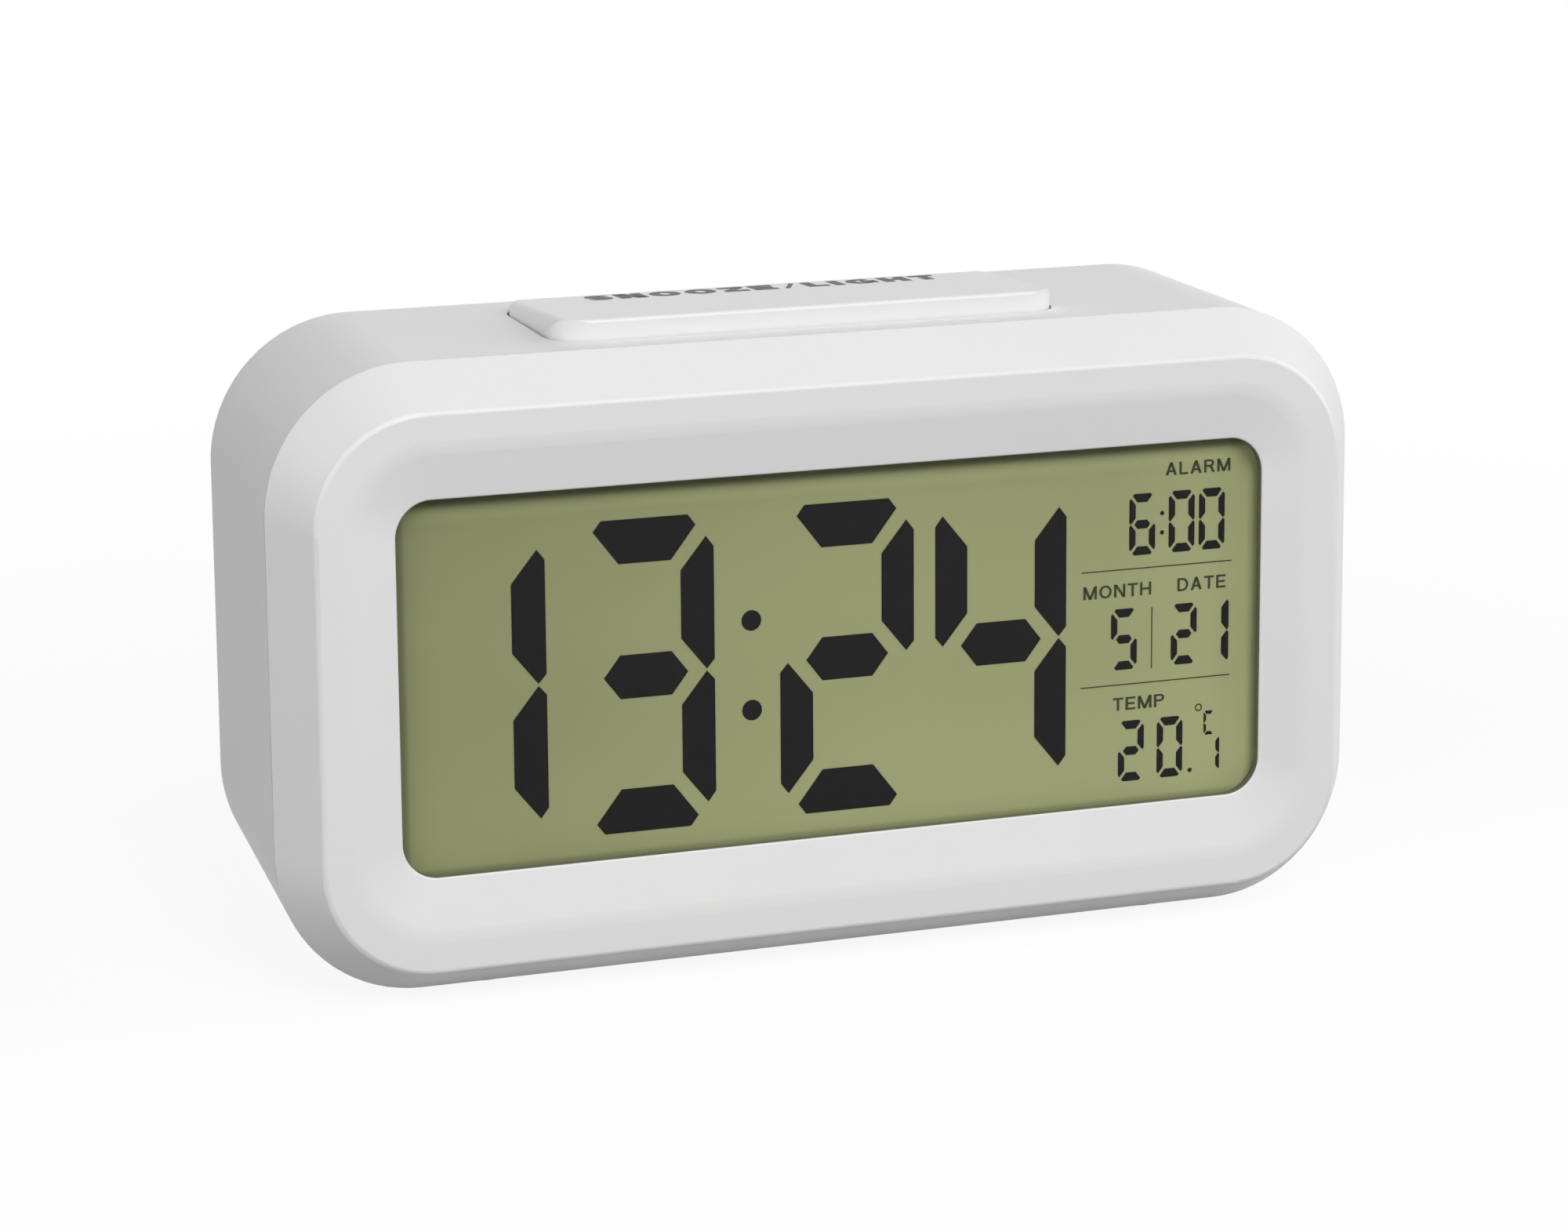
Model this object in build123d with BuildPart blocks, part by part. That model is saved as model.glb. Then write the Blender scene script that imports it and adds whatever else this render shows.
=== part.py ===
from build123d import *
import math
import os
from collections import namedtuple

# A digital alarm clock. Its front leans back, its top is level, its underside rises to the back.
# X runs to the viewer's right, Y to the back, Z up. The origin is on the table, under the middle.
# Most pieces are drawn on planes parallel to the front: (x, height) on a plane at some depth
# behind the edge of the display window. All sizes are in millimetres.

Outline = namedtuple("Outline", "half_width half_height corner height depth")

# Stance
LEAN = 3.0
FOOT_STAND = 0.7

# Case
WALL = 2.0
CASE_DEPTH = 38.5
REAR_ROUNDING = 4.5
REAR_LIFT = 3.2
PARTING = 0.25
FIT = 0.15
GAP = 0.3
BITE = 0.15
INNER_CORNER = 1.0
SMALL_CORNER = 0.5
SLOPE = math.tan(math.radians(LEAN))
WINDOW = Outline(53.84, 21.84, 4.3, 0.0, 0.0)
PLATEAU = Outline(59.2, 28.2, 9.6, -0.3, -1.22)
RIDGE = Outline(63.4, 32.3, 13.1, -0.46, -1.22)
CREASE = Outline(67.5, 36.42, 17.0, 0.4, 5.03)
REAR_RISE = (CASE_DEPTH - CREASE.depth) * SLOPE
REAR_HALF_HEIGHT = CREASE.half_height - REAR_LIFT / 2
REAR_HEIGHT = CREASE.height + REAR_RISE + REAR_LIFT / 2
REAR = Outline(65.75, REAR_HALF_HEIGHT, CREASE.corner, REAR_HEIGHT, CASE_DEPTH)
BACK = CASE_DEPTH - WALL
RIDGE_ROUNDING = 0.7
DISH_ROUNDING = 8.0
WINDOW_EDGE = 0.25

# Bezel
LIP = 1.2
BEZEL_WALL = 3.4
BEZEL_CAVITY = Outline(61.6, 30.5, 11.5, 0.2, LIP)
TONGUE = 2.0
CASE_SCREWS = [(-46, -27.5), (46, -27.5), (-46, 30.3), (46, 30.3)]
BOSS_R = 3.25
BOSS_END = 13.0
BOARD_POSTS = [(-59.7, -19), (59.7, -19), (-59.7, 19), (59.7, 19)]
BOARD_POST_R = 2.3

# Screws
CASE_SCREW_R = 1.3
CASE_SCREW_HEAD_R = 2.5
CASE_SCREW_HEAD = 1.8
CASE_SCREW_SEAT = 16.0
CASE_SCREW_TIP = 5.0
TOWER_R = 3.8
RECESS_R = 2.75
SMALL_SCREW_R = 1.0
SMALL_SCREW_HEAD_R = 1.9
SMALL_SCREW_HEAD = 1.2
SMALL_SCREW_GRIP = 5.0
HEAD_ROUNDING = 0.4
THREAD_ROOM = 0.05
TIP_ROOM = 0.8

# Display stack, from the lens back to the main board
LENS_FRONT = 0.3
LENS_BACK = 2.0
LENS_FLANGE = Outline(55.6, 23.0, 2.0, 0.0, LIP)
LENS_CLEARANCE = 0.12
GASKET_OPENING = Outline(54.5, 22.3, 4.8, 0.0, LENS_BACK)
GASKET = 0.4
GLASS_FRONT = LENS_BACK + GASKET
GLASS_SHEET = 1.1
GLASS_HALF_WIDTH = 55.2
FRONT_GLASS_HALF_HEIGHT = 23.0
REAR_GLASS_HALF_HEIGHT = 21.4
GLASS_BACK = GLASS_FRONT + 2 * GLASS_SHEET
GUIDE = 2.8
GUIDE_HALF_WIDTH = 52.6
GUIDE_HALF_HEIGHT = 21.0
GUIDE_BACK = GLASS_BACK + GUIDE
SHEET = 0.2
BOARD = 1.6
BOARD_FRONT = 8.2
BOARD_BACK = BOARD_FRONT + BOARD
BOARD_HALF_WIDTH = 62.5
BOARD_HALF_HEIGHT = 23.0
BOARD_CORNER = 2.0
STRIP_HALF_LENGTH = 50.0
STRIP = 1.2
STRIP_HEIGHT = 22.15
HOLDER_HALF_WIDTH = 57.2
HOLDER_HALF_HEIGHT = 24.3
HOLDER_SLEEVE = 0.3
HOLDER_STEP_HALF_WIDTH = 54.0
LED_WIDTH = 1.2
LED_HEIGHT = 3.2
LED_ROOM = 0.1
LED_X = GUIDE_HALF_WIDTH + LED_ROOM + LED_WIDTH / 2

# Main board parts
BLOB_R = 7.0
BLOB = 1.8
CRYSTAL_R = 1.0
CRYSTAL_LENGTH = 6.0
CRYSTAL_EDGE = 0.3
CRYSTAL_SPOT = (18.0, 9.0)
BEAD_R = 1.3
BEAD_SPOT = (-52.0, -12.0)
BEAD_LEGS = 3.0
BEAD_LEG_R = 0.25
BEAD_LEG_SPACING = 1.2

# Snooze bar, on the level top
TOP = FOOT_STAND + 2 * CREASE.half_height * math.cos(math.radians(LEAN))
BAR_HALF_WIDTH = 31.5
BAR_FRONT_DEPTH = 9.3
BAR_BACK_DEPTH = 30.0
BAR_PROUD = 2.57
BAR_DROP = 1.5
BAR_CORNER = 4.0
BAR_END_ROUNDING = 1.7
BAR_EDGE = 0.45
BAR_SKIN = 1.6
BAR_REACH = 3.4
BAR_TRAVEL = 1.0
HOOK_WIDTH = 8.0
HOOK_OUT = 1.3
BAR_BOSS_R = 2.5
SNOOZE_BOARD_DROP = 10.0
SNOOZE_BOARD_HALF_WIDTH = 40.5
SNOOZE_BOARD_LENGTH = 12.0
SNOOZE_POST_X = 36.5
SNOOZE_POST_R = 2.6

# Push switches behind the keys and under the bar
SWITCH_SIDE = 6.0
SWITCH_BODY = 3.5
SWITCH_STEM_R = 1.7
SWITCH_STEM_OUT = 1.3
SWITCH_STEM_IN = 1.2
SWITCH_WELL = SWITCH_STEM_IN + BAR_TRAVEL + GAP
STEM_CLEARANCE = 0.05

# Keys in the back
KEY_ROW = 23.5
KEY_NAMES = ["set_key", "up_key", "down_key", "alarm_key"]
KEY_X = [-29.0, -14.5, 0.0, 14.5]
KEY_WIDTH = 8.0
KEY_HEIGHT = 5.0
KEY_CORNER = 1.6
KEY_PROUD = 1.0
KEY_EDGE = 0.4
KEY_COLLAR = 1.0
KEY_COLLAR_OVERHANG = 0.7
KEY_FOOT_R = 2.2
KEY_BOARD_STANDOFF = 9.5
KEY_BOARD_FRONT = BACK - KEY_BOARD_STANDOFF
KEY_BOARD_BACK = KEY_BOARD_FRONT + BOARD
KEY_BOARD_SPAN = (-36.0, 40.0)
KEY_BOARD_HEIGHT = 12.0
KEY_BOARD_POSTS = [(-21.75, KEY_ROW), (7.25, KEY_ROW), (22.0, KEY_ROW)]
KEY_POST_R = 2.0

# Alarm slide switch, on the key board
SLIDE_X = 31.0
SLIDE_TRAVEL = 3.0
SLIDE_BODY_WIDTH = 9.0
SLIDE_BODY_HEIGHT = 4.4
SLIDE_BODY = 3.6
SLIDE_STEM = 2.0
SLIDE_KNOB_WIDTH = 3.6
SLIDE_KNOB_HEIGHT = 3.4
SLIDE_KNOB_PROUD = 0.9
SLIDE_SHUTTER_WIDTH = 11.5
SLIDE_SHUTTER_HEIGHT = 6.0
SLIDE_SHUTTER = 0.8
GROOVE = 0.4

# Buzzer behind the sound holes
BUZZER_SPOT = (47.0, -2.0)
BUZZER_R = 10.0
BUZZER_PLATE = 0.3
CERAMIC_R = 7.0
CERAMIC = 0.25
BUZZER_SEAT = 1.5
BUZZER_RIM = 1.2
SOUND_HOLE_R = 1.0
SOUND_CIRCLE_R = 5.0
SOUND_HOLES = 6

# Battery bay in the back
BAY_HEIGHT = -4.5
BAY_HALF_WIDTH = 26.0
BAY_HALF_HEIGHT = 17.3
BAY_WALL = 1.5
BAY_DEEP = 12.0
BAY_FLOOR = BACK - BAY_DEEP
CELL_R = 5.25
CELL_BODY = 43.7
CELL_NUB = 0.8
CELL_NUB_R = 1.9
CELL_PITCH = 11.2
CELL_ROOM = 0.25
CELL_DEPTH = BAY_FLOOR + CELL_R + CELL_ROOM
CELL_EDGE = 0.5
CELL_NAMES = ["upper_battery", "middle_battery", "lower_battery"]
CRADLE_WIDTH = 1.8
CRADLE_RISE = 1.8
CONTACT = 0.4
CONTACT_HALF = 4.4
CONTACT_X = BAY_HALF_WIDTH - CONTACT
TAG_WIDTH = 2.4
TAG_OUT = 3.5
SPRING_WIRE_R = 0.3
SPRING_WIDE_R = 3.6
SPRING_NARROW_R = 2.4
SPRING_TURNS = 3.5
SPRING_SEAT = 0.05

# Battery door, on two hooks at its lower edge
DOOR = 1.75
DOOR_HALF_WIDTH = 28.9
DOOR_HALF_HEIGHT = 18.9
DOOR_CORNER = 1.5
DOOR_ROOM = 0.05
DOOR_SEAT = CASE_DEPTH - DOOR - DOOR_ROOM
LEDGE_WIDTH = 1.5
LEDGE = 1.6
HOOK_X = [-15.0, 15.0]
HOOK_TAB_WIDTH = 6.0
HOOK_TAB = 0.8
HOOK_TAB_REACH = 1.8
HOOK_TAB_SETBACK = 0.1
HOOK_TAB_DEPTH = CASE_DEPTH - DOOR + HOOK_TAB_SETBACK
HOOK_POCKET_SKIN = 0.6
HOOK_SWING = 2.6
LATCH_WIDTH = 10.0
LATCH_LENGTH = 8.0
LATCH_SLOT = 0.8
THUMB_R = 7.0
THUMB_DEEP = 0.9
DOOR_RIBS = [-10.0, 10.0]
DOOR_RIB = 1.2

# Feet
FOOT_R = 4.5
FOOT_SUNK = 0.7
FOOT_X = 42.0
FOOT_FRONT_DEPTH = 11.0
FOOT_BACK_DEPTH = 28.0

# Wires and ribbon
WIRE_R = 0.6
LEAD_DEPTH = 14.6
LEAD_BEND = 2.0
LEAD_PAD_X = 36.0
LEAD_RISE = 3.5
LEAD_RUN = 5.0
SNOOZE_LEAD_X = [18.0, 21.0]
RIBBON = 0.6
RIBBON_WIDTH = 12.0
RIBBON_BEND = 2.5
RIBBON_X = -7.0
RIBBON_TOP = 19.3
RIBBON_FOOT = 15.5
RIBBON_TURN_DEPTH = 20.5

# Placing: the window edge's centre is set so that the feet stand at height 0 and the depth is centred
COS_LEAN = math.cos(math.radians(LEAN))
SIN_LEAN = math.sin(math.radians(LEAN))
CREASE_BOTTOM = CREASE.height - CREASE.half_height
WINDOW_Z = FOOT_STAND + CREASE.depth * SIN_LEAN - CREASE_BOTTOM * COS_LEAN
FOREMOST = RIDGE.depth * COS_LEAN + (RIDGE.height - RIDGE.half_height + RIDGE_ROUNDING) * SIN_LEAN
KEY_FACE = CASE_DEPTH + KEY_PROUD
REARMOST = KEY_FACE * COS_LEAN + (KEY_ROW + KEY_HEIGHT / 2 - KEY_EDGE) * SIN_LEAN
WINDOW_Y = -(FOREMOST + REARMOST) / 2
FRONT = Plane(origin=(0, WINDOW_Y, WINDOW_Z), x_dir=(1, 0, 0), z_dir=(0, -COS_LEAN, SIN_LEAN))
INWARD = -FRONT.z_dir


def at(depth):
    """The plane parallel to the front, at a depth behind the window edge."""
    return FRONT.offset(-depth)


def level(height):
    """A level plane above the table."""
    return Plane.XY.offset(height)


def point(x, height, depth):
    """A place given in the leaning frame of the front."""
    return FRONT.from_local_coords(Vector(x, height, -depth))


def across(x):
    """The plane square to X, with depth along its own x and height along its own y."""
    return Plane(origin=point(x, 0, 0), x_dir=INWARD, z_dir=(1, 0, 0))


def top_y(depth):
    """Where a depth lies on the level top."""
    return point(0, CREASE.height + CREASE.half_height + (depth - CREASE.depth) * SLOPE, depth).Y


def inset(outline, amount):
    """The same outline drawn in by an amount."""
    half_width, half_height, corner = [size - amount for size in outline[:3]]
    return outline._replace(half_width=half_width, half_height=half_height, corner=corner)


def case_outline(depth, amount):
    """The drafted case's outline at a depth, drawn in by an amount."""
    share = (depth - CREASE.depth) / (REAR.depth - CREASE.depth)
    sizes = [front + share * (rear - front) for front, rear in zip(CREASE, REAR)]
    return inset(Outline(*sizes), amount)


def underside(depth):
    """The place under the middle of the case, at a depth."""
    outline = case_outline(depth, 0)
    return point(0, outline.height - outline.half_height, depth)


def oblong(width, height, corner):
    """A rectangle, rounded if it has a corner radius."""
    if corner:
        RectangleRounded(width, height, corner)
    else:
        Rectangle(width, height)


def face_of(outline):
    """The filled face of an outline, on its own plane."""
    with BuildSketch(at(outline.depth)) as face:
        with Locations((0, outline.height)):
            oblong(2 * outline.half_width, 2 * outline.half_height, outline.corner)
    return face.sketch


def taper(first, second, mode=Mode.ADD):
    """A straight-sided form between two outlines."""
    loft([face_of(first), face_of(second)], ruled=True, mode=mode)


def case_block(start, end, amount):
    """The case's drafted block, still with sharp edges, between two depths: a side view cut to a plan."""
    front, rear = [case_outline(depth, amount) for depth in (start, end)]
    with BuildSketch(across(0)) as side_view:
        with BuildLine():
            Polyline(
                (start, front.height - front.half_height),
                (end, rear.height - rear.half_height),
                (end, rear.height + rear.half_height),
                (start, front.height + front.half_height),
                close=True,
            )
        make_face()
    extrude(side_view.sketch, amount=front.half_width, both=True)
    with BuildSketch(Plane(origin=FRONT.origin, x_dir=FRONT.x_dir, z_dir=FRONT.y_dir)) as plan:
        with BuildLine():
            Polyline(
                (-front.half_width, start),
                (front.half_width, start),
                (rear.half_width, end),
                (-rear.half_width, end),
                close=True,
            )
        make_face()
    extrude(plan.sketch, amount=2 * front.half_height, both=True, mode=Mode.INTERSECT)


def depth_edges(piece):
    """The edges that run from front to back."""
    mostly = 0.9
    return [edge for edge in piece.edges() if abs(edge.tangent_at(0.5).dot(INWARD)) > mostly]


def prism(outline, end, mode=Mode.ADD):
    """An outline carried back to a depth."""
    extrude(face_of(outline), amount=outline.depth - end, mode=mode)


def slab(width, height, start, end, spots=((0, 0),), corner=0.0, mode=Mode.ADD):
    """Rectangles parallel to the front, between two depths."""
    with BuildSketch(at(start)) as face:
        with Locations(*spots):
            oblong(width, height, corner)
    extrude(face.sketch, amount=start - end, mode=mode)


def pillars(spots, radius, start, end, mode=Mode.ADD):
    """Round posts or holes square to the front, between two depths."""
    with BuildSketch(at(start)) as face:
        with Locations(*spots):
            Circle(radius)
    extrude(face.sketch, amount=start - end, mode=mode)


def posts(spots, radius, low, high, mode=Mode.ADD):
    """Upright round posts or holes, between two heights."""
    with BuildSketch(level(low)) as face:
        with Locations(*spots):
            Circle(radius)
    extrude(face.sketch, amount=high - low, mode=mode)


def feet(mode=Mode.ADD):
    """Two pairs of feet, or their seats, from the table up into the underside."""
    for depth in (FOOT_FRONT_DEPTH, FOOT_BACK_DEPTH):
        seat = underside(depth)
        posts([(-FOOT_X, seat.Y), (FOOT_X, seat.Y)], FOOT_R, 0, seat.Z + FOOT_SUNK, mode=mode)


def plate(width, length, low, high, spots=((0, 0),), corner=0.0, mode=Mode.ADD):
    """Level rectangles, between two heights."""
    with BuildSketch(level(low)) as face:
        with Locations(*spots):
            oblong(width, length, corner)
    extrude(face.sketch, amount=high - low, mode=mode)


def coil_point(share, height, side):
    """A place on a contact spring's centre line, from its wide end, share 0, to its narrow end."""
    turn = 2 * math.pi * SPRING_TURNS * share
    radius = SPRING_WIDE_R + share * (SPRING_NARROW_R - SPRING_WIDE_R)
    x = side * (SPRING_START_X - share * SPRING_LENGTH)
    return point(x, height + radius * math.sin(turn), CELL_DEPTH + radius * math.cos(turn))


def coil_direction(share, height, side):
    """The spring's direction at that place."""
    step = 1e-5
    return (coil_point(share + step, height, side) - coil_point(share - step, height, side)).normalized()


def half_turn(start, start_way, end, end_way):
    """Two arcs that meet smoothly between two places with given directions."""
    chord = end - start
    both_ways = start_way + end_way
    spread = 2 * (1 - start_way.dot(end_way))
    along = chord.dot(both_ways)
    reach = (math.sqrt(along**2 + spread * chord.dot(chord)) - along) / spread
    start_handle = start + start_way * reach
    end_handle = end - end_way * reach
    TangentArc(start, (start_handle + end_handle) * 0.5, tangent=start_way)
    TangentArc((start_handle + end_handle) * 0.5, end, tangent=end_handle - start_handle)


def wire(route, bend):
    """A round lead with rounded turns. Gives its section times its length."""
    with BuildLine() as line:
        path = FilletPolyline(*route, radius=bend)
    with BuildSketch(Plane(route[0], z_dir=route[1] - route[0])) as section:
        Circle(WIRE_R)
    sweep(section.sketch, path=line.wires()[0])
    return math.pi * WIRE_R**2 * path.length


def compare(lead, expected):
    """Print a lead's volume beside its section times its length."""
    print("lead volume", round(lead.part.volume, 2), "section times length", round(expected, 2))


def save(piece, name):
    """Label a finished piece and write it to its own file."""
    piece.part.label = name
    export_step(piece.part, f"parts/{name}.step")


os.makedirs("parts", exist_ok=True)
front_axis = Axis(FRONT.origin, FRONT.z_dir)

# Front bezel: bevelled outside, a raised plateau, and a shallow dish down to the window
TONGUE_ENDS = (CREASE.depth, CREASE.depth + TONGUE)
TONGUE_OUTSIDE = [case_outline(depth, WALL + FIT) for depth in TONGUE_ENDS]
TONGUE_INSIDE = [case_outline(depth, BEZEL_WALL) for depth in TONGUE_ENDS]
with BuildPart() as front_bezel:
    taper(CREASE, RIDGE)
    taper(PLATEAU, WINDOW, mode=Mode.SUBTRACT)
    prism(WINDOW, LIP, mode=Mode.SUBTRACT)
    fillet(front_bezel.edges().filter_by_position(front_axis, -FIT, FIT), radius=WINDOW_EDGE)
    plateau_face = front_bezel.faces().sort_by(front_axis)[-1]
    fillet(plateau_face.outer_wire().edges(), radius=RIDGE_ROUNDING)
    plateau_face = front_bezel.faces().sort_by(front_axis)[-1]
    fillet(plateau_face.inner_wires()[0].edges(), radius=DISH_ROUNDING)
    taper(*TONGUE_OUTSIDE)
    taper(BEZEL_CAVITY, TONGUE_INSIDE[0], mode=Mode.SUBTRACT)
    taper(*TONGUE_INSIDE, mode=Mode.SUBTRACT)
    pillars(CASE_SCREWS, BOSS_R, LIP, BOSS_END)
    boss_pilot = CASE_SCREW_TIP - TIP_ROOM
    pillars(CASE_SCREWS, CASE_SCREW_R + THREAD_ROOM, boss_pilot, BOSS_END, mode=Mode.SUBTRACT)
    pillars(BOARD_POSTS, BOARD_POST_R, LIP, BOARD_FRONT)
    board_pilot = BOARD_FRONT - SMALL_SCREW_GRIP - TIP_ROOM
    pillars(BOARD_POSTS, SMALL_SCREW_R + THREAD_ROOM, board_pilot, BOARD_FRONT, mode=Mode.SUBTRACT)
save(front_bezel, "front_bezel")

# Display lens: a clear pane that stands in the window, with a flange behind the lip
with BuildPart() as display_lens:
    prism(inset(WINDOW, LENS_CLEARANCE)._replace(depth=LENS_FRONT), LIP)
    prism(LENS_FLANGE, LENS_BACK)
save(display_lens, "display_lens")

# Black foam frame between the lens and the display glass
with BuildPart() as display_gasket:
    prism(LENS_FLANGE._replace(depth=LENS_BACK), GLASS_FRONT)
    prism(GASKET_OPENING, GLASS_FRONT, mode=Mode.SUBTRACT)
save(display_gasket, "display_gasket")

# Display: two glass sheets, the front one taller, so that its contact ledges face the board
with BuildPart() as lcd_panel:
    slab(2 * GLASS_HALF_WIDTH, 2 * FRONT_GLASS_HALF_HEIGHT, GLASS_FRONT, GLASS_FRONT + GLASS_SHEET)
    slab(2 * GLASS_HALF_WIDTH, 2 * REAR_GLASS_HALF_HEIGHT, GLASS_FRONT + GLASS_SHEET, GLASS_BACK)
save(lcd_panel, "lcd_panel")

# Clear plate that spreads the night light behind the display, and the white sheet behind it
with BuildPart() as light_guide:
    slab(2 * GUIDE_HALF_WIDTH, 2 * GUIDE_HALF_HEIGHT, GLASS_BACK, GUIDE_BACK)
save(light_guide, "light_guide")
with BuildPart() as reflector_sheet:
    slab(2 * GUIDE_HALF_WIDTH, 2 * GUIDE_HALF_HEIGHT, GUIDE_BACK, GUIDE_BACK + SHEET)
save(reflector_sheet, "reflector_sheet")
with BuildPart() as backlight_leds:
    slab(LED_WIDTH, LED_HEIGHT, GLASS_BACK + SHEET, BOARD_FRONT, spots=[(-LED_X, 0), (LED_X, 0)])
save(backlight_leds, "backlight_leds")

# Striped rubber connectors from the glass ledges to the board
with BuildPart() as contact_strips:
    strip_spots = [(0, -STRIP_HEIGHT), (0, STRIP_HEIGHT)]
    slab(2 * STRIP_HALF_LENGTH, STRIP, GLASS_FRONT + GLASS_SHEET, BOARD_FRONT, spots=strip_spots)
save(contact_strips, "contact_strips")

# White frame that holds glass, light guide and strips against the bezel
with BuildPart() as lcd_holder:
    slab(2 * HOLDER_HALF_WIDTH, 2 * HOLDER_HALF_HEIGHT, GLASS_FRONT, BOARD_FRONT)
    sleeve_width = 2 * (GLASS_HALF_WIDTH + HOLDER_SLEEVE)
    sleeve_height = 2 * (FRONT_GLASS_HALF_HEIGHT + HOLDER_SLEEVE)
    slab(sleeve_width, sleeve_height, GLASS_FRONT, GLASS_BACK, mode=Mode.SUBTRACT)
    slab(2 * HOLDER_STEP_HALF_WIDTH, sleeve_height, GLASS_BACK, BOARD_FRONT, mode=Mode.SUBTRACT)
    pillars(CASE_SCREWS, BOSS_R + GAP, GLASS_FRONT, BOARD_FRONT, mode=Mode.SUBTRACT)
    holder_edges = lcd_holder.edges().filter_by(front_axis)
    corner_edges = [edge for edge in holder_edges if abs(edge.center().X) > HOLDER_HALF_WIDTH - FIT]
    fillet(corner_edges, radius=INNER_CORNER)
save(lcd_holder, "lcd_holder")

# Main board with its chip under a drop of resin, the clock crystal and the temperature bead
with BuildPart() as main_board:
    slab(2 * BOARD_HALF_WIDTH, 2 * BOARD_HALF_HEIGHT, BOARD_FRONT, BOARD_BACK, corner=BOARD_CORNER)
    pillars(BOARD_POSTS, SMALL_SCREW_R + THREAD_ROOM, BOARD_FRONT, BOARD_BACK, mode=Mode.SUBTRACT)
save(main_board, "main_board")
with BuildPart() as chip_cover:
    with BuildSketch(across(0)):
        with BuildLine():
            crown = ThreePointArc((BOARD_BACK, -BLOB_R), (BOARD_BACK + BLOB, 0), (BOARD_BACK, BLOB_R))
            Line(crown @ 1, crown @ 0)
        make_face()
        split(bisect_by=Plane.XZ, keep=Keep.TOP)
    revolve(axis=Axis(point(0, 0, 0), INWARD))
save(chip_cover, "chip_cover")
with BuildPart() as quartz_crystal:
    with BuildSketch(across(CRYSTAL_SPOT[0])):
        with Locations((BOARD_BACK + CRYSTAL_R, CRYSTAL_SPOT[1])):
            Circle(CRYSTAL_R)
    extrude(amount=CRYSTAL_LENGTH)
    fillet(quartz_crystal.faces().sort_by(Axis.X)[-1].edges(), radius=CRYSTAL_EDGE)
save(quartz_crystal, "quartz_crystal")
with BuildPart() as temperature_bead:
    leg_left = (BEAD_SPOT[0] - BEAD_LEG_SPACING / 2, BEAD_SPOT[1])
    leg_right = (BEAD_SPOT[0] + BEAD_LEG_SPACING / 2, BEAD_SPOT[1])
    pillars([leg_left, leg_right], BEAD_LEG_R, BOARD_BACK, BOARD_BACK + BEAD_LEGS + BEAD_R)
    with Locations(Location(point(*BEAD_SPOT, BOARD_BACK + BEAD_LEGS + BEAD_R))):
        Sphere(BEAD_R)
save(temperature_bead, "temperature_bead")
with BuildPart() as board_screws:
    pillars(BOARD_POSTS, SMALL_SCREW_R, BOARD_BACK - BOARD - SMALL_SCREW_GRIP, BOARD_BACK)
    pillars(BOARD_POSTS, SMALL_SCREW_HEAD_R, BOARD_BACK, BOARD_BACK + SMALL_SCREW_HEAD)
    fillet(board_screws.faces().sort_by(front_axis)[:len(BOARD_POSTS)].edges(), radius=HEAD_ROUNDING)
save(board_screws, "board_screws")

# Snooze bar: a side view cut to a plan and a front view; its top falls towards the back
BAR_FRONT_Y = top_y(BAR_FRONT_DEPTH)
BAR_BACK_Y = top_y(BAR_BACK_DEPTH)
BAR_Y = (BAR_FRONT_Y + BAR_BACK_Y) / 2
BAR_LENGTH = BAR_BACK_Y - BAR_FRONT_Y
BAR_FOOT = TOP - BAR_REACH
BAR_UNDERSIDE = TOP + BAR_PROUD - BAR_DROP - BAR_SKIN
SNOOZE_BOARD_TOP = TOP - SNOOZE_BOARD_DROP
SNOOZE_BODY_TOP = SNOOZE_BOARD_TOP + SWITCH_BODY
SNOOZE_STEM_TOP = SNOOZE_BODY_TOP + SWITCH_STEM_OUT
bar_middle = [(0, BAR_Y)]
with BuildPart() as snooze_bar:
    with BuildSketch(Plane.YZ) as bar_side:
        with BuildLine():
            Polyline(
                (BAR_FRONT_Y, BAR_FOOT),
                (BAR_FRONT_Y, TOP + BAR_PROUD),
                (BAR_BACK_Y, TOP + BAR_PROUD - BAR_DROP),
                (BAR_BACK_Y, BAR_FOOT),
                close=True,
            )
        make_face()
        fillet(bar_side.vertices().sort_by(Axis.Y)[-2:], radius=BAR_EDGE)
    extrude(amount=BAR_HALF_WIDTH, both=True)
    bar_plan = (2 * BAR_HALF_WIDTH, BAR_LENGTH, BAR_FOOT, TOP + BAR_REACH)
    plate(*bar_plan, bar_middle, BAR_CORNER, mode=Mode.INTERSECT)
    bar_front_edge = (0, BAR_FRONT_Y, TOP + BAR_PROUD)
    with BuildSketch(Plane(bar_front_edge, x_dir=(1, 0, 0), z_dir=(0, BAR_LENGTH, -BAR_DROP))):
        with Locations((0, TOP / 2)):
            RectangleRounded(2 * BAR_HALF_WIDTH, TOP, BAR_END_ROUNDING)
    extrude(amount=CASE_DEPTH, both=True, mode=Mode.INTERSECT)
    hollow_width = 2 * (BAR_HALF_WIDTH - BAR_SKIN)
    hollow_length = BAR_LENGTH - 2 * BAR_SKIN
    plate(2 * (BAR_HALF_WIDTH + HOOK_OUT), HOOK_WIDTH, BAR_FOOT, TOP - WALL - GAP, bar_middle)
    hollow = (hollow_width, hollow_length, BAR_FOOT, BAR_UNDERSIDE)
    plate(*hollow, bar_middle, BAR_CORNER - BAR_SKIN, mode=Mode.SUBTRACT)
    posts(bar_middle, BAR_BOSS_R, SNOOZE_STEM_TOP, BAR_UNDERSIDE + BITE)
save(snooze_bar, "snooze_bar")

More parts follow.
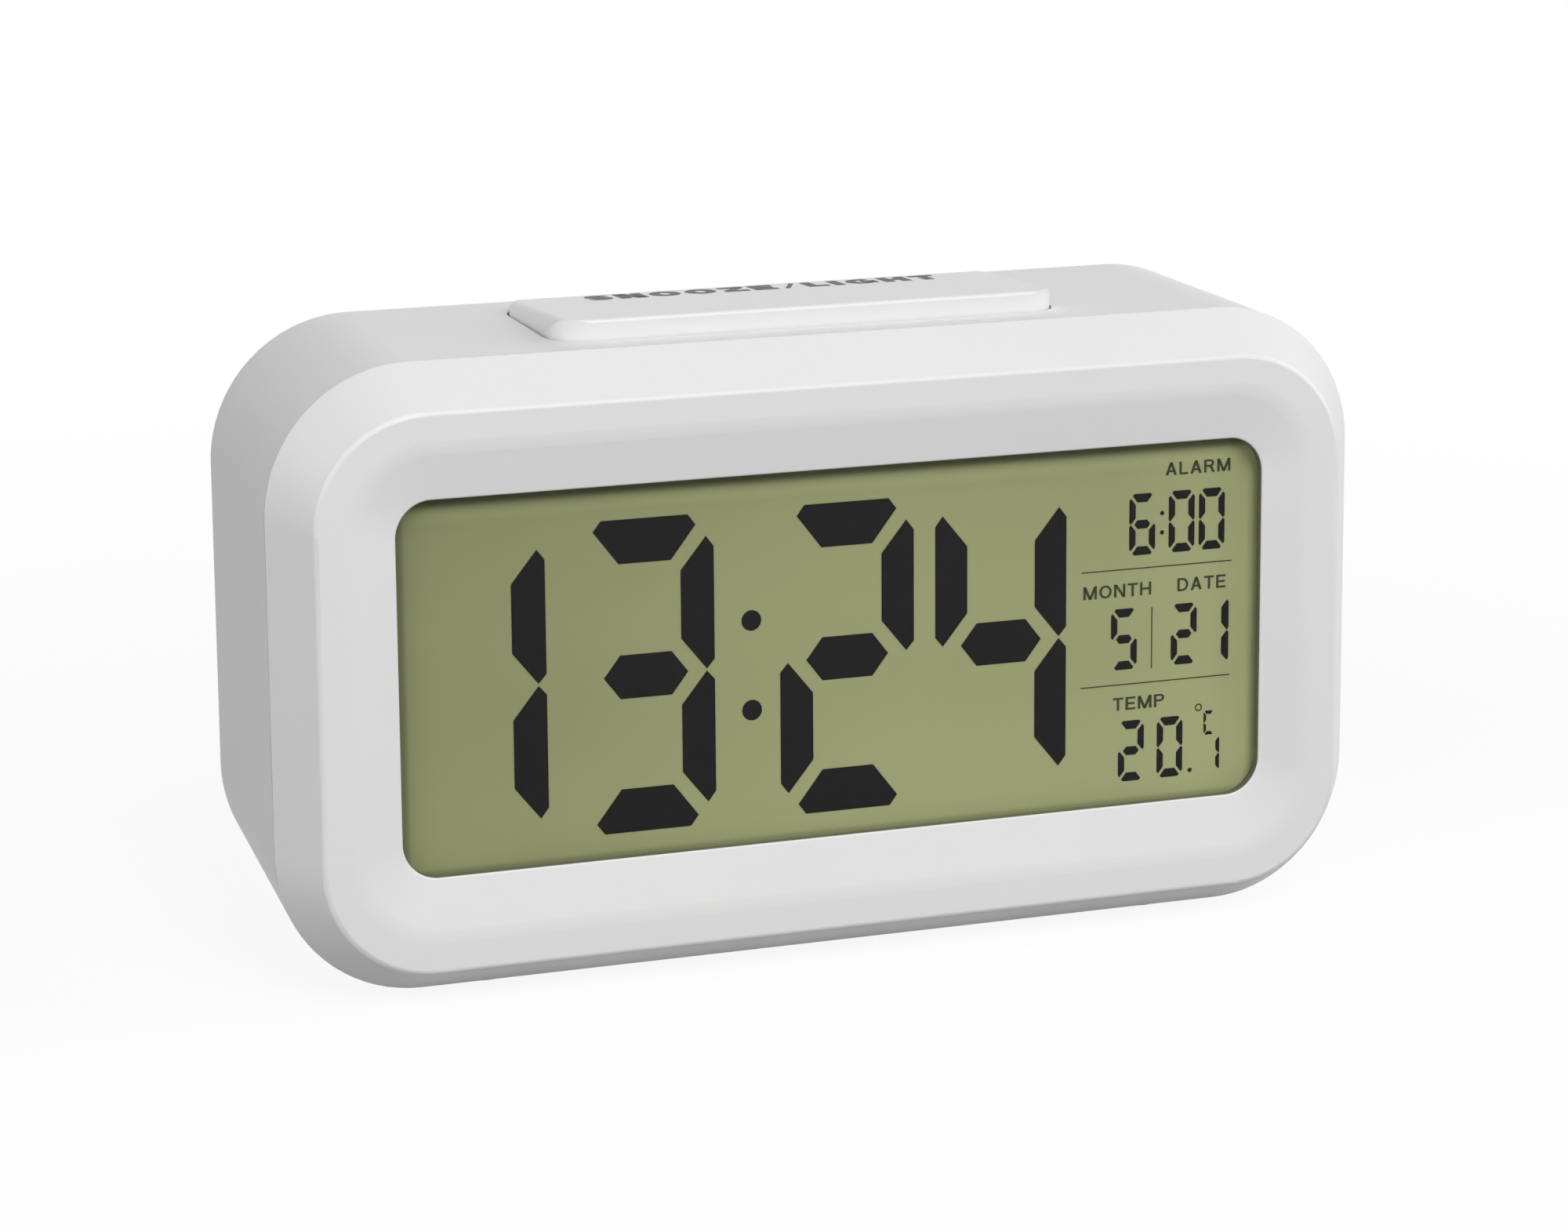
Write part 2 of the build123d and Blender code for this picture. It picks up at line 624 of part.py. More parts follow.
# Snooze switch on its own little board, hung from the case top
with BuildPart() as snooze_board:
    board_low = SNOOZE_BOARD_TOP - BOARD
    snooze_posts = [(-SNOOZE_POST_X, BAR_Y), (SNOOZE_POST_X, BAR_Y)]
    board_size = (2 * SNOOZE_BOARD_HALF_WIDTH, SNOOZE_BOARD_LENGTH, board_low, SNOOZE_BOARD_TOP)
    plate(*board_size, bar_middle, INNER_CORNER)
    posts(snooze_posts, SMALL_SCREW_R + THREAD_ROOM, board_low, SNOOZE_BOARD_TOP, mode=Mode.SUBTRACT)
save(snooze_board, "snooze_board")
with BuildPart() as snooze_switch:
    plate(SWITCH_SIDE, SWITCH_SIDE, SNOOZE_BOARD_TOP, SNOOZE_BODY_TOP, bar_middle)
    well_low = SNOOZE_BODY_TOP - SWITCH_WELL
    posts(bar_middle, SWITCH_STEM_R + STEM_CLEARANCE, well_low, SNOOZE_BODY_TOP, mode=Mode.SUBTRACT)
save(snooze_switch, "snooze_switch")
with BuildPart() as snooze_switch_stem:
    posts(bar_middle, SWITCH_STEM_R, SNOOZE_BODY_TOP - SWITCH_STEM_IN, SNOOZE_STEM_TOP)
save(snooze_switch_stem, "snooze_switch_stem")
with BuildPart() as snooze_screws:
    posts(snooze_posts, SMALL_SCREW_R, board_low, SNOOZE_BOARD_TOP + SMALL_SCREW_GRIP)
    posts(snooze_posts, SMALL_SCREW_HEAD_R, board_low - SMALL_SCREW_HEAD, board_low)
    fillet(snooze_screws.faces().sort_by(Axis.Z)[:len(snooze_posts)].edges(), radius=HEAD_ROUNDING)
save(snooze_screws, "snooze_screws")

# The rear housing's outside, behind the parting line, and the room in it
with BuildPart() as case_outside:
    case_block(CREASE.depth + PARTING, CASE_DEPTH, 0)
    fillet(depth_edges(case_outside), radius=CREASE.corner)
    fillet(case_outside.faces().sort_by(front_axis)[0].edges(), radius=REAR_ROUNDING)
with BuildPart() as case_room:
    case_block(CREASE.depth, BACK, WALL)
    fillet(depth_edges(case_room), radius=CREASE.corner - WALL)
    fillet(case_room.faces().sort_by(front_axis)[0].edges(), radius=REAR_ROUNDING - WALL)

# Rear housing: a drafted tub with the battery bay, screw towers, key and sound openings
KEY_SPOTS = [(x, KEY_ROW) for x in KEY_X]
SLIDE_MIDDLE = (SLIDE_X + SLIDE_TRAVEL / 2, KEY_ROW)
BAY_MIDDLE = [(0, BAY_HEIGHT)]
OPENING_WIDTH = 2 * (DOOR_HALF_WIDTH + GAP)
OPENING_HEIGHT = 2 * (DOOR_HALF_HEIGHT + GAP)
HINGE_HEIGHT = BAY_HEIGHT - DOOR_HALF_HEIGHT - GAP
HOOK_SPOTS = [(x, HINGE_HEIGHT) for x in HOOK_X]
THUMB_HEIGHT = BAY_HEIGHT + DOOR_HALF_HEIGHT + GAP
with BuildPart() as rear_housing:
    add(case_outside.part)
    add(case_room.part, mode=Mode.SUBTRACT)
    pillars(CASE_SCREWS, TOWER_R, BOSS_END, BACK + BITE)
    add(case_outside.part, mode=Mode.INTERSECT)
    pillars(KEY_BOARD_POSTS, KEY_POST_R, KEY_BOARD_BACK, BACK + BITE)
    pillars([BUZZER_SPOT], BUZZER_R + GAP, BACK - BUZZER_SEAT, BACK)
    pillars([BUZZER_SPOT], BUZZER_R - BUZZER_RIM, BACK - BUZZER_SEAT, BACK, mode=Mode.SUBTRACT)
    posts(snooze_posts, SNOOZE_POST_R, SNOOZE_BOARD_TOP, TOP - WALL + BITE)
    bay_width = 2 * BAY_HALF_WIDTH
    bay_height = 2 * BAY_HALF_HEIGHT
    box_width = bay_width + 2 * BAY_WALL
    box_height = bay_height + 2 * BAY_WALL
    slab(box_width, box_height, BAY_FLOOR - BAY_WALL, DOOR_SEAT, BAY_MIDDLE)
    ledge_width = OPENING_WIDTH + 2 * LEDGE_WIDTH
    ledge_height = OPENING_HEIGHT + 2 * LEDGE_WIDTH
    slab(ledge_width, ledge_height, DOOR_SEAT - LEDGE, BACK + BITE, BAY_MIDDLE)
    opening = (OPENING_WIDTH, OPENING_HEIGHT, DOOR_SEAT, CASE_DEPTH)
    slab(*opening, BAY_MIDDLE, DOOR_CORNER, mode=Mode.SUBTRACT)
    slab(bay_width, bay_height, BAY_FLOOR, DOOR_SEAT, BAY_MIDDLE, INNER_CORNER, mode=Mode.SUBTRACT)
    cradles = [(0, BAY_HEIGHT - CELL_PITCH / 2), (0, BAY_HEIGHT + CELL_PITCH / 2)]
    slab(bay_width - 2 * CELL_R, CRADLE_WIDTH, BAY_FLOOR, BAY_FLOOR + CRADLE_RISE, cradles)
    pocket_width = HOOK_TAB_WIDTH + 2 * GAP
    pocket_depths = (CASE_DEPTH - HOOK_SWING, CASE_DEPTH - HOOK_POCKET_SKIN)
    slab(pocket_width, 2 * HOOK_SWING, *pocket_depths, HOOK_SPOTS, mode=Mode.SUBTRACT)
    with BuildSketch(across(0)):
        with Locations((CASE_DEPTH - THUMB_DEEP + THUMB_R, THUMB_HEIGHT)):
            Circle(THUMB_R)
    extrude(amount=LATCH_WIDTH / 2, both=True, mode=Mode.SUBTRACT)
    pillars(CASE_SCREWS, CASE_SCREW_R + THREAD_ROOM, BOSS_END, CASE_SCREW_SEAT, mode=Mode.SUBTRACT)
    pillars(CASE_SCREWS, RECESS_R, CASE_SCREW_SEAT, CASE_DEPTH, mode=Mode.SUBTRACT)
    key_hole = (KEY_WIDTH + 2 * GAP, KEY_HEIGHT + 2 * GAP)
    slab(*key_hole, BACK, CASE_DEPTH, KEY_SPOTS, KEY_CORNER + GAP, mode=Mode.SUBTRACT)
    slide_slot = (SLIDE_KNOB_WIDTH + SLIDE_TRAVEL + 2 * GAP, SLIDE_KNOB_HEIGHT + 2 * GAP)
    slab(*slide_slot, BACK, CASE_DEPTH, [SLIDE_MIDDLE], SMALL_CORNER, mode=Mode.SUBTRACT)
    post_pilot = KEY_BOARD_BACK + SMALL_SCREW_GRIP + TIP_ROOM
    pillars(KEY_BOARD_POSTS, SMALL_SCREW_R + THREAD_ROOM, KEY_BOARD_BACK, post_pilot, mode=Mode.SUBTRACT)
    pilot_top = SNOOZE_BOARD_TOP + SMALL_SCREW_GRIP + TIP_ROOM
    posts(snooze_posts, SMALL_SCREW_R + THREAD_ROOM, SNOOZE_BOARD_TOP, pilot_top, mode=Mode.SUBTRACT)
    bar_hole = (2 * (BAR_HALF_WIDTH + GAP), BAR_LENGTH + 2 * GAP)
    plate(*bar_hole, TOP - 2 * WALL, TOP + WALL, bar_middle, BAR_CORNER + GAP, mode=Mode.SUBTRACT)
    feet(mode=Mode.SUBTRACT)
    with BuildSketch(at(CASE_DEPTH)):
        with Locations(BUZZER_SPOT):
            Circle(SOUND_HOLE_R)
            with PolarLocations(SOUND_CIRCLE_R, SOUND_HOLES):
                Circle(SOUND_HOLE_R)
    extrude(amount=WALL, mode=Mode.SUBTRACT)
    tag_x = CONTACT_X + CONTACT / 2
    tag_spots = [(tag_x, BAY_HEIGHT + CELL_PITCH), (-tag_x, BAY_HEIGHT - CELL_PITCH)]
    slab(CONTACT, TAG_WIDTH, BAY_FLOOR - BAY_WALL, BAY_FLOOR, tag_spots, mode=Mode.SUBTRACT)
save(rear_housing, "rear_housing")

# Battery door, with two hooks below, a sprung latch tongue above and ribs that hold the cells
with BuildPart() as battery_door:
    door_width = 2 * DOOR_HALF_WIDTH
    slab(door_width, 2 * DOOR_HALF_HEIGHT, CASE_DEPTH - DOOR, CASE_DEPTH, BAY_MIDDLE, DOOR_CORNER)
    latch_x = (LATCH_WIDTH + LATCH_SLOT) / 2
    latch_height = BAY_HEIGHT + DOOR_HALF_HEIGHT - LATCH_LENGTH / 2
    latch_slots = [(-latch_x, latch_height), (latch_x, latch_height)]
    slab(LATCH_SLOT, LATCH_LENGTH, CASE_DEPTH - DOOR, CASE_DEPTH, latch_slots, mode=Mode.SUBTRACT)
    with BuildSketch(across(0)):
        with Locations((CASE_DEPTH - THUMB_DEEP + THUMB_R, THUMB_HEIGHT)):
            Circle(THUMB_R)
    extrude(amount=LATCH_WIDTH / 2, both=True, mode=Mode.SUBTRACT)
    tab_top = BAY_HEIGHT - DOOR_HALF_HEIGHT + HOOK_TAB
    tab_low = HINGE_HEIGHT - HOOK_TAB_REACH
    tab_spots = [(x, (tab_top + tab_low) / 2) for x in HOOK_X]
    slab(HOOK_TAB_WIDTH, tab_top - tab_low, HOOK_TAB_DEPTH, HOOK_TAB_DEPTH + HOOK_TAB, tab_spots)
    rib_spots = [(x, BAY_HEIGHT) for x in DOOR_RIBS]
    rib_height = 2 * (BAY_HALF_HEIGHT - 2 * GAP)
    slab(DOOR_RIB, rib_height, CELL_DEPTH + CELL_R + GAP, CASE_DEPTH - DOOR, rib_spots)
save(battery_door, "battery_door")

# Case screws, up the towers into the bezel's bosses
with BuildPart() as case_screws:
    pillars(CASE_SCREWS, CASE_SCREW_R, CASE_SCREW_TIP, CASE_SCREW_SEAT)
    pillars(CASE_SCREWS, CASE_SCREW_HEAD_R, CASE_SCREW_SEAT, CASE_SCREW_SEAT + CASE_SCREW_HEAD)
    fillet(case_screws.faces().sort_by(front_axis)[:len(CASE_SCREWS)].edges(), radius=HEAD_ROUNDING)
save(case_screws, "case_screws")

# Soft feet, let into the underside, the back ones taller
with BuildPart() as rubber_feet:
    feet()
    chamfer(rubber_feet.faces().group_by(Axis.Z)[0].edges(), length=GAP)
save(rubber_feet, "rubber_feet")

# Key caps, each with the stem of its push switch
SWITCH_TOP = KEY_BOARD_BACK + SWITCH_BODY
STEM_TOP = SWITCH_TOP + SWITCH_STEM_OUT
COLLAR_FRONT = BACK - GAP - KEY_COLLAR
for name, spot in zip(KEY_NAMES, KEY_SPOTS):
    with BuildPart() as key_cap:
        slab(KEY_WIDTH, KEY_HEIGHT, COLLAR_FRONT, KEY_FACE, [spot], KEY_CORNER)
        fillet(key_cap.faces().sort_by(front_axis)[0].edges(), radius=KEY_EDGE)
        collar_width = KEY_WIDTH + 2 * KEY_COLLAR_OVERHANG
        collar_height = KEY_HEIGHT + 2 * KEY_COLLAR_OVERHANG
        slab(collar_width, collar_height, COLLAR_FRONT, BACK - GAP, [spot], KEY_CORNER)
        pillars([spot], KEY_FOOT_R, STEM_TOP, COLLAR_FRONT)
    save(key_cap, name)
    with BuildPart() as key_stem:
        pillars([spot], SWITCH_STEM_R, SWITCH_TOP - SWITCH_STEM_IN, STEM_TOP)
    save(key_stem, f"{name}_stem")

# Push switches, their board and its screws
with BuildPart() as key_switches:
    slab(SWITCH_SIDE, SWITCH_SIDE, KEY_BOARD_BACK, SWITCH_TOP, KEY_SPOTS)
    stem_hole = SWITCH_STEM_R + STEM_CLEARANCE
    pillars(KEY_SPOTS, stem_hole, SWITCH_TOP - SWITCH_WELL, SWITCH_TOP, mode=Mode.SUBTRACT)
save(key_switches, "key_switches")
with BuildPart() as key_board:
    board_left, board_right = KEY_BOARD_SPAN
    board_middle = [((board_left + board_right) / 2, KEY_ROW)]
    board_width = board_right - board_left
    board_depths = (KEY_BOARD_FRONT, KEY_BOARD_BACK)
    slab(board_width, KEY_BOARD_HEIGHT, *board_depths, board_middle, INNER_CORNER)
    screw_hole = SMALL_SCREW_R + THREAD_ROOM
    pillars(KEY_BOARD_POSTS, screw_hole, KEY_BOARD_FRONT, KEY_BOARD_BACK, mode=Mode.SUBTRACT)
save(key_board, "key_board")
with BuildPart() as key_board_screws:
    pillars(KEY_BOARD_POSTS, SMALL_SCREW_R, KEY_BOARD_FRONT, KEY_BOARD_BACK + SMALL_SCREW_GRIP)
    pillars(KEY_BOARD_POSTS, SMALL_SCREW_HEAD_R, KEY_BOARD_FRONT - SMALL_SCREW_HEAD, KEY_BOARD_FRONT)
    screw_heads = key_board_screws.faces().sort_by(front_axis)[-len(KEY_BOARD_POSTS):]
    fillet(screw_heads.edges(), radius=HEAD_ROUNDING)
save(key_board_screws, "key_board_screws")

# Alarm slide switch: a body on the key board and a knob that looks out of the back
SLIDE_TOP = KEY_BOARD_BACK + SLIDE_BODY
SHUTTER_FRONT = BACK - GAP - SLIDE_SHUTTER
KNOB_FACE = CASE_DEPTH + SLIDE_KNOB_PROUD
SLIDE_REST = (SLIDE_X, KEY_ROW)
with BuildPart() as alarm_switch:
    slab(SLIDE_BODY_WIDTH, SLIDE_BODY_HEIGHT, KEY_BOARD_BACK, SLIDE_TOP, [SLIDE_MIDDLE])
    stem_slot = (SLIDE_STEM + SLIDE_TRAVEL + 2 * GAP, SLIDE_STEM + 2 * GAP)
    slab(*stem_slot, SLIDE_TOP - SWITCH_WELL, SLIDE_TOP, [SLIDE_MIDDLE], mode=Mode.SUBTRACT)
save(alarm_switch, "alarm_switch")
with BuildPart() as alarm_switch_knob:
    slab(SLIDE_STEM, SLIDE_STEM, SLIDE_TOP - SWITCH_STEM_IN, SHUTTER_FRONT, [SLIDE_REST])
    slab(SLIDE_SHUTTER_WIDTH, SLIDE_SHUTTER_HEIGHT, SHUTTER_FRONT, BACK - GAP, [SLIDE_REST])
    slab(SLIDE_KNOB_WIDTH, SLIDE_KNOB_HEIGHT, BACK - GAP, KNOB_FACE, [SLIDE_REST], SMALL_CORNER)
    grooves = [(SLIDE_X + offset, KEY_ROW) for offset in (-2 * GROOVE, 0, 2 * GROOVE)]
    slab(GROOVE, SLIDE_KNOB_HEIGHT, KNOB_FACE - GROOVE, KNOB_FACE, grooves, mode=Mode.SUBTRACT)
save(alarm_switch_knob, "alarm_switch_knob")

# Buzzer: a thin brass disc glued over its seat, with a ceramic layer
PLATE_BACK = BACK - BUZZER_SEAT
PLATE_FRONT = PLATE_BACK - BUZZER_PLATE
with BuildPart() as buzzer_plate:
    pillars([BUZZER_SPOT], BUZZER_R, PLATE_FRONT, PLATE_BACK)
save(buzzer_plate, "buzzer_plate")
with BuildPart() as buzzer_ceramic:
    pillars([BUZZER_SPOT], CERAMIC_R, PLATE_FRONT - CERAMIC, PLATE_FRONT)
save(buzzer_ceramic, "buzzer_ceramic")

# Battery cells, laid turn about, with their plus ends against the plates
CELL_HEIGHTS = [BAY_HEIGHT + CELL_PITCH, BAY_HEIGHT, BAY_HEIGHT - CELL_PITCH]
CELL_SIDES = [1, -1, 1]
SHOULDER_X = CONTACT_X - SPRING_SEAT - CELL_NUB
for name, height, side in zip(CELL_NAMES, CELL_HEIGHTS, CELL_SIDES):
    with BuildPart() as cell:
        with BuildSketch(across(side * SHOULDER_X)):
            with Locations((CELL_DEPTH, height)):
                Circle(CELL_R)
        extrude(amount=-side * CELL_BODY)
        fillet(cell.edges().filter_by(GeomType.CIRCLE), radius=CELL_EDGE)
        with BuildSketch(across(side * SHOULDER_X)):
            with Locations((CELL_DEPTH, height)):
                Circle(CELL_NUB_R)
        extrude(amount=side * CELL_NUB)
    save(cell, name)

# Sheet-metal contacts at both ends of the bay; two have a tag through the bay floor for a wire
CONTACT_DEPTH = BAY_FLOOR + FIT + CONTACT_HALF
TAG_START = BAY_FLOOR - BAY_WALL - TAG_OUT
CONTACTS = {
    "positive_contact": (1, [0], [0]),
    "left_bridge_contact": (-1, [0, 1], []),
    "right_bridge_contact": (1, [1, 2], []),
    "negative_contact": (-1, [2], [2]),
}
for name, (side, cells, tags) in CONTACTS.items():
    with BuildPart() as contact:
        with BuildSketch(across(side * CONTACT_X)):
            high = CELL_HEIGHTS[cells[0]] + CONTACT_HALF
            low = CELL_HEIGHTS[cells[-1]] - CONTACT_HALF
            with Locations((CONTACT_DEPTH, (high + low) / 2)):
                RectangleRounded(2 * CONTACT_HALF, high - low, SMALL_CORNER)
            tag_length = CONTACT_DEPTH - TAG_START
            for tag in tags:
                with Locations((TAG_START + tag_length / 2, CELL_HEIGHTS[tag])):
                    Rectangle(tag_length, TAG_WIDTH)
        extrude(amount=side * CONTACT)
    save(contact, name)


# Contact springs, coiled wire that narrows towards the cell, at the cells' minus ends
CELL_END_X = CELL_BODY - SHOULDER_X
SPRING_START_X = CONTACT_X - SPRING_SEAT - SPRING_WIRE_R
SPRING_LENGTH = SPRING_START_X - CELL_END_X - SPRING_SEAT - SPRING_WIRE_R
SPRING_NAMES = ["upper_contact_spring", "middle_contact_spring", "lower_contact_spring"]
HALF_TURNS = round(2 * SPRING_TURNS)
for name, height, cell_side in zip(SPRING_NAMES, CELL_HEIGHTS, CELL_SIDES):
    side = -cell_side
    with BuildPart() as spring:
        with BuildLine() as centre_line:
            for index in range(HALF_TURNS):
                ends = (index / HALF_TURNS, (index + 1) / HALF_TURNS)
                start, end = [coil_point(share, height, side) for share in ends]
                start_way, end_way = [coil_direction(share, height, side) for share in ends]
                half_turn(start, start_way, end, end_way)
        with BuildSketch(Plane(coil_point(0, height, side), z_dir=coil_direction(0, height, side))):
            Circle(SPRING_WIRE_R)
        sweep(path=centre_line.wires()[0])
    save(spring, name)
SAMPLES_PER_TURN = 24
samples = round(SPRING_TURNS * SAMPLES_PER_TURN)
line_points = [coil_point(index / samples, 0, 1) for index in range(samples + 1)]
spring_gap = min(
    (line_points[late] - line_points[early]).length
    for early in range(samples + 1)
    for late in range(early + SAMPLES_PER_TURN // 2, samples + 1)
)
print("least gap between the turns of a contact spring:", round(spring_gap - 2 * SPRING_WIRE_R, 2))


# Leads from the battery contacts to the main board
LEADS = {"red_battery_lead": (1, 0), "black_battery_lead": (-1, 2)}
for name, (side, cell_index) in LEADS.items():
    height = CELL_HEIGHTS[cell_index]
    tag_x = side * (CONTACT_X + CONTACT / 2)
    pad_x = side * LEAD_PAD_X
    with BuildPart() as lead:
        corners = [
            point(tag_x, height, TAG_START),
            point(tag_x, height, LEAD_DEPTH),
            point(pad_x, height + side * LEAD_RISE, LEAD_DEPTH),
            point(pad_x, height + side * LEAD_RISE, BOARD_BACK),
        ]
        expected = wire(corners, LEAD_BEND)
    compare(lead, expected)
    save(lead, name)

# Leads from the buzzer, one from the ceramic and one from the brass rim
with BuildPart() as buzzer_leads:
    buzzer_x, buzzer_height = BUZZER_SPOT
    rim_height = buzzer_height + (BUZZER_R + CERAMIC_R) / 2
    expected = wire(
        [
            point(buzzer_x, buzzer_height, PLATE_FRONT - CERAMIC),
            point(buzzer_x, buzzer_height, LEAD_DEPTH),
            point(buzzer_x, buzzer_height - LEAD_RUN, LEAD_DEPTH),
            point(buzzer_x, buzzer_height - LEAD_RUN, BOARD_BACK),
        ],
        LEAD_BEND,
    )
    expected += wire(
        [
            point(buzzer_x, rim_height, PLATE_FRONT),
            point(buzzer_x, rim_height, LEAD_DEPTH),
            point(buzzer_x, rim_height + LEAD_RUN, LEAD_DEPTH),
            point(buzzer_x, rim_height + LEAD_RUN, BOARD_BACK),
        ],
        LEAD_BEND,
    )
compare(buzzer_leads, expected)
save(buzzer_leads, "buzzer_leads")

# Leads from the snooze board, down behind the main board
with BuildPart() as snooze_leads:
    expected = 0
    for x in SNOOZE_LEAD_X:
        pad = Vector(x, BAR_Y - SNOOZE_BOARD_LENGTH / 4, board_low - SPRING_SEAT)
        leave = FRONT.to_local_coords(pad)
        turn_height = leave.Y - LEAD_RUN
        corners = [
            point(x, leave.Y, -leave.Z),
            point(x, turn_height, -leave.Z),
            point(x, turn_height, BOARD_BACK),
        ]
        expected += wire(corners, LEAD_BEND)
compare(snooze_leads, expected)
save(snooze_leads, "snooze_leads")

# Flat ribbon between the key board and the main board
with BuildPart() as key_ribbon:
    with BuildLine() as ribbon_line:
        FilletPolyline(
            point(RIBBON_X, RIBBON_TOP, KEY_BOARD_FRONT),
            point(RIBBON_X, RIBBON_TOP, RIBBON_TURN_DEPTH),
            point(RIBBON_X, RIBBON_FOOT, LEAD_DEPTH),
            point(RIBBON_X, RIBBON_FOOT, BOARD_BACK),
            radius=RIBBON_BEND,
        )
    with BuildSketch(at(KEY_BOARD_FRONT)):
        with Locations((RIBBON_X, RIBBON_TOP)):
            Rectangle(RIBBON_WIDTH, RIBBON)
    sweep(path=ribbon_line.wires()[0])
save(key_ribbon, "key_ribbon")
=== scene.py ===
# %% [markdown]
# # A digital alarm clock
# The clock is a white plastic case in two shells. A large segment display stands behind a clear lens, a wide
# bar lies on top, and the keys, the alarm switch and the battery door are at the back. The solid pieces come
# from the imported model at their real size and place. This lesson gives each one its finish, draws what the
# display shows and what is printed on the bar, then lights the clock and sets the camera.

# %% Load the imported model
import math

import bmesh
import bpy
from mathutils import Euler, Matrix, Vector


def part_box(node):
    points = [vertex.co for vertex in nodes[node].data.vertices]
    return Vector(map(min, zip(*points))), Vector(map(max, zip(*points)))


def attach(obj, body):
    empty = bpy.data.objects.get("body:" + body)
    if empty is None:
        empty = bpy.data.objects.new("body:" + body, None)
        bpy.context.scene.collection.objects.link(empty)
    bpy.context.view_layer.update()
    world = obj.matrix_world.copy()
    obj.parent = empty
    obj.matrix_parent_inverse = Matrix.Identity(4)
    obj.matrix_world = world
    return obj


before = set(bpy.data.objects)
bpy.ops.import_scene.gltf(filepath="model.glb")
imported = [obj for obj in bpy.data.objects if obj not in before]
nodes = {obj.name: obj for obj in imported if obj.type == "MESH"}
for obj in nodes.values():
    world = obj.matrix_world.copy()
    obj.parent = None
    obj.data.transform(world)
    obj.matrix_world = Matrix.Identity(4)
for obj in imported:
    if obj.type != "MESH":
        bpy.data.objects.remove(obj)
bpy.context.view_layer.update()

MM = 0.001
scene = bpy.context.scene

# %% [markdown]
# ## The leaning front
# The front leans back by three degrees, so the display is drawn flat and then carried to the glass by one
# matrix. The glass gives the place: its lowest Y is the foot of its front face, its highest Z the head of it.

# %% The display's own frame
LEAN = math.radians(3.0)
UP_THE_FRONT = Vector((0, math.sin(LEAN), math.cos(LEAN)))
OUT_OF_FRONT = Vector((0, -math.cos(LEAN), math.sin(LEAN)))
ACROSS = Vector((1, 0, 0))
GLASS_HEIGHT = 46.0 * MM
GLASS_DEPTH = 2.4 * MM
PRINT_LIFT = 0.01 * MM
PRINT_THICKNESS = 0.03 * MM


def frame_matrix(x_axis, y_axis, z_axis, origin):
    """The matrix that carries drawings from the XY plane to a place on the clock."""
    turn = Matrix((x_axis, y_axis, z_axis)).transposed().to_4x4()
    return Matrix.Translation(origin) @ turn


glass_low, glass_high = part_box("lcd_panel")
glass_middle = Vector((0, glass_low.y, glass_high.z))
glass_middle += GLASS_HEIGHT / 2 * Vector((0, math.sin(LEAN), -math.cos(LEAN)))
window_middle = glass_middle + GLASS_DEPTH * OUT_OF_FRONT
ON_GLASS = frame_matrix(ACROSS, UP_THE_FRONT, OUT_OF_FRONT, glass_middle + PRINT_LIFT * OUT_OF_FRONT)
print("middle of the window in mm:", [round(v / MM, 2) for v in window_middle])

# %% [markdown]
# ## Shared surface effects
# Moulded plastic, rubber and metal all have a fine grain and slow changes over a hand's width. Both are noise
# on the object's own coordinates, so they stay with the piece when it moves. They are built once, as a group.

# %% The grain group
GRAIN_DETAIL = 3.0
MOTTLE_DETAIL = 2.0


def link(tree, source, target):
    tree.links.new(source, target)


def grain_group():
    """Fine height and slow mottling, both from 0 to 1, for a grain size and a mottle size in metres."""
    group = bpy.data.node_groups.new("surface_grain", "ShaderNodeTree")
    sockets = group.interface
    sockets.new_socket("Grain Size", in_out="INPUT", socket_type="NodeSocketFloat").default_value = 0.3 * MM
    sockets.new_socket("Mottle Size", in_out="INPUT", socket_type="NodeSocketFloat").default_value = 20 * MM
    sockets.new_socket("Stretch", in_out="INPUT", socket_type="NodeSocketVector").default_value = (1, 1, 1)
    sockets.new_socket("Height", in_out="OUTPUT", socket_type="NodeSocketFloat")
    sockets.new_socket("Mottle", in_out="OUTPUT", socket_type="NodeSocketFloat")
    entry = group.nodes.new("NodeGroupInput")
    leave = group.nodes.new("NodeGroupOutput")
    place = group.nodes.new("ShaderNodeTexCoord")
    stretch = group.nodes.new("ShaderNodeVectorMath")
    stretch.operation = "MULTIPLY"
    link(group, place.outputs["Object"], stretch.inputs[0])
    link(group, entry.outputs["Stretch"], stretch.inputs[1])
    for size, result, detail in (
        ("Grain Size", "Height", GRAIN_DETAIL),
        ("Mottle Size", "Mottle", MOTTLE_DETAIL),
    ):
        scale = group.nodes.new("ShaderNodeMath")
        scale.operation = "DIVIDE"
        scale.inputs[0].default_value = 1.0
        link(group, entry.outputs[size], scale.inputs[1])
        noise = group.nodes.new("ShaderNodeTexNoise")
        noise.inputs["Detail"].default_value = detail
        link(group, stretch.outputs["Vector"], noise.inputs["Vector"])
        link(group, scale.outputs["Value"], noise.inputs["Scale"])
        link(group, noise.outputs["Fac"], leave.inputs[result])
    return group


GRAIN = grain_group()
print("group made:", GRAIN.name)
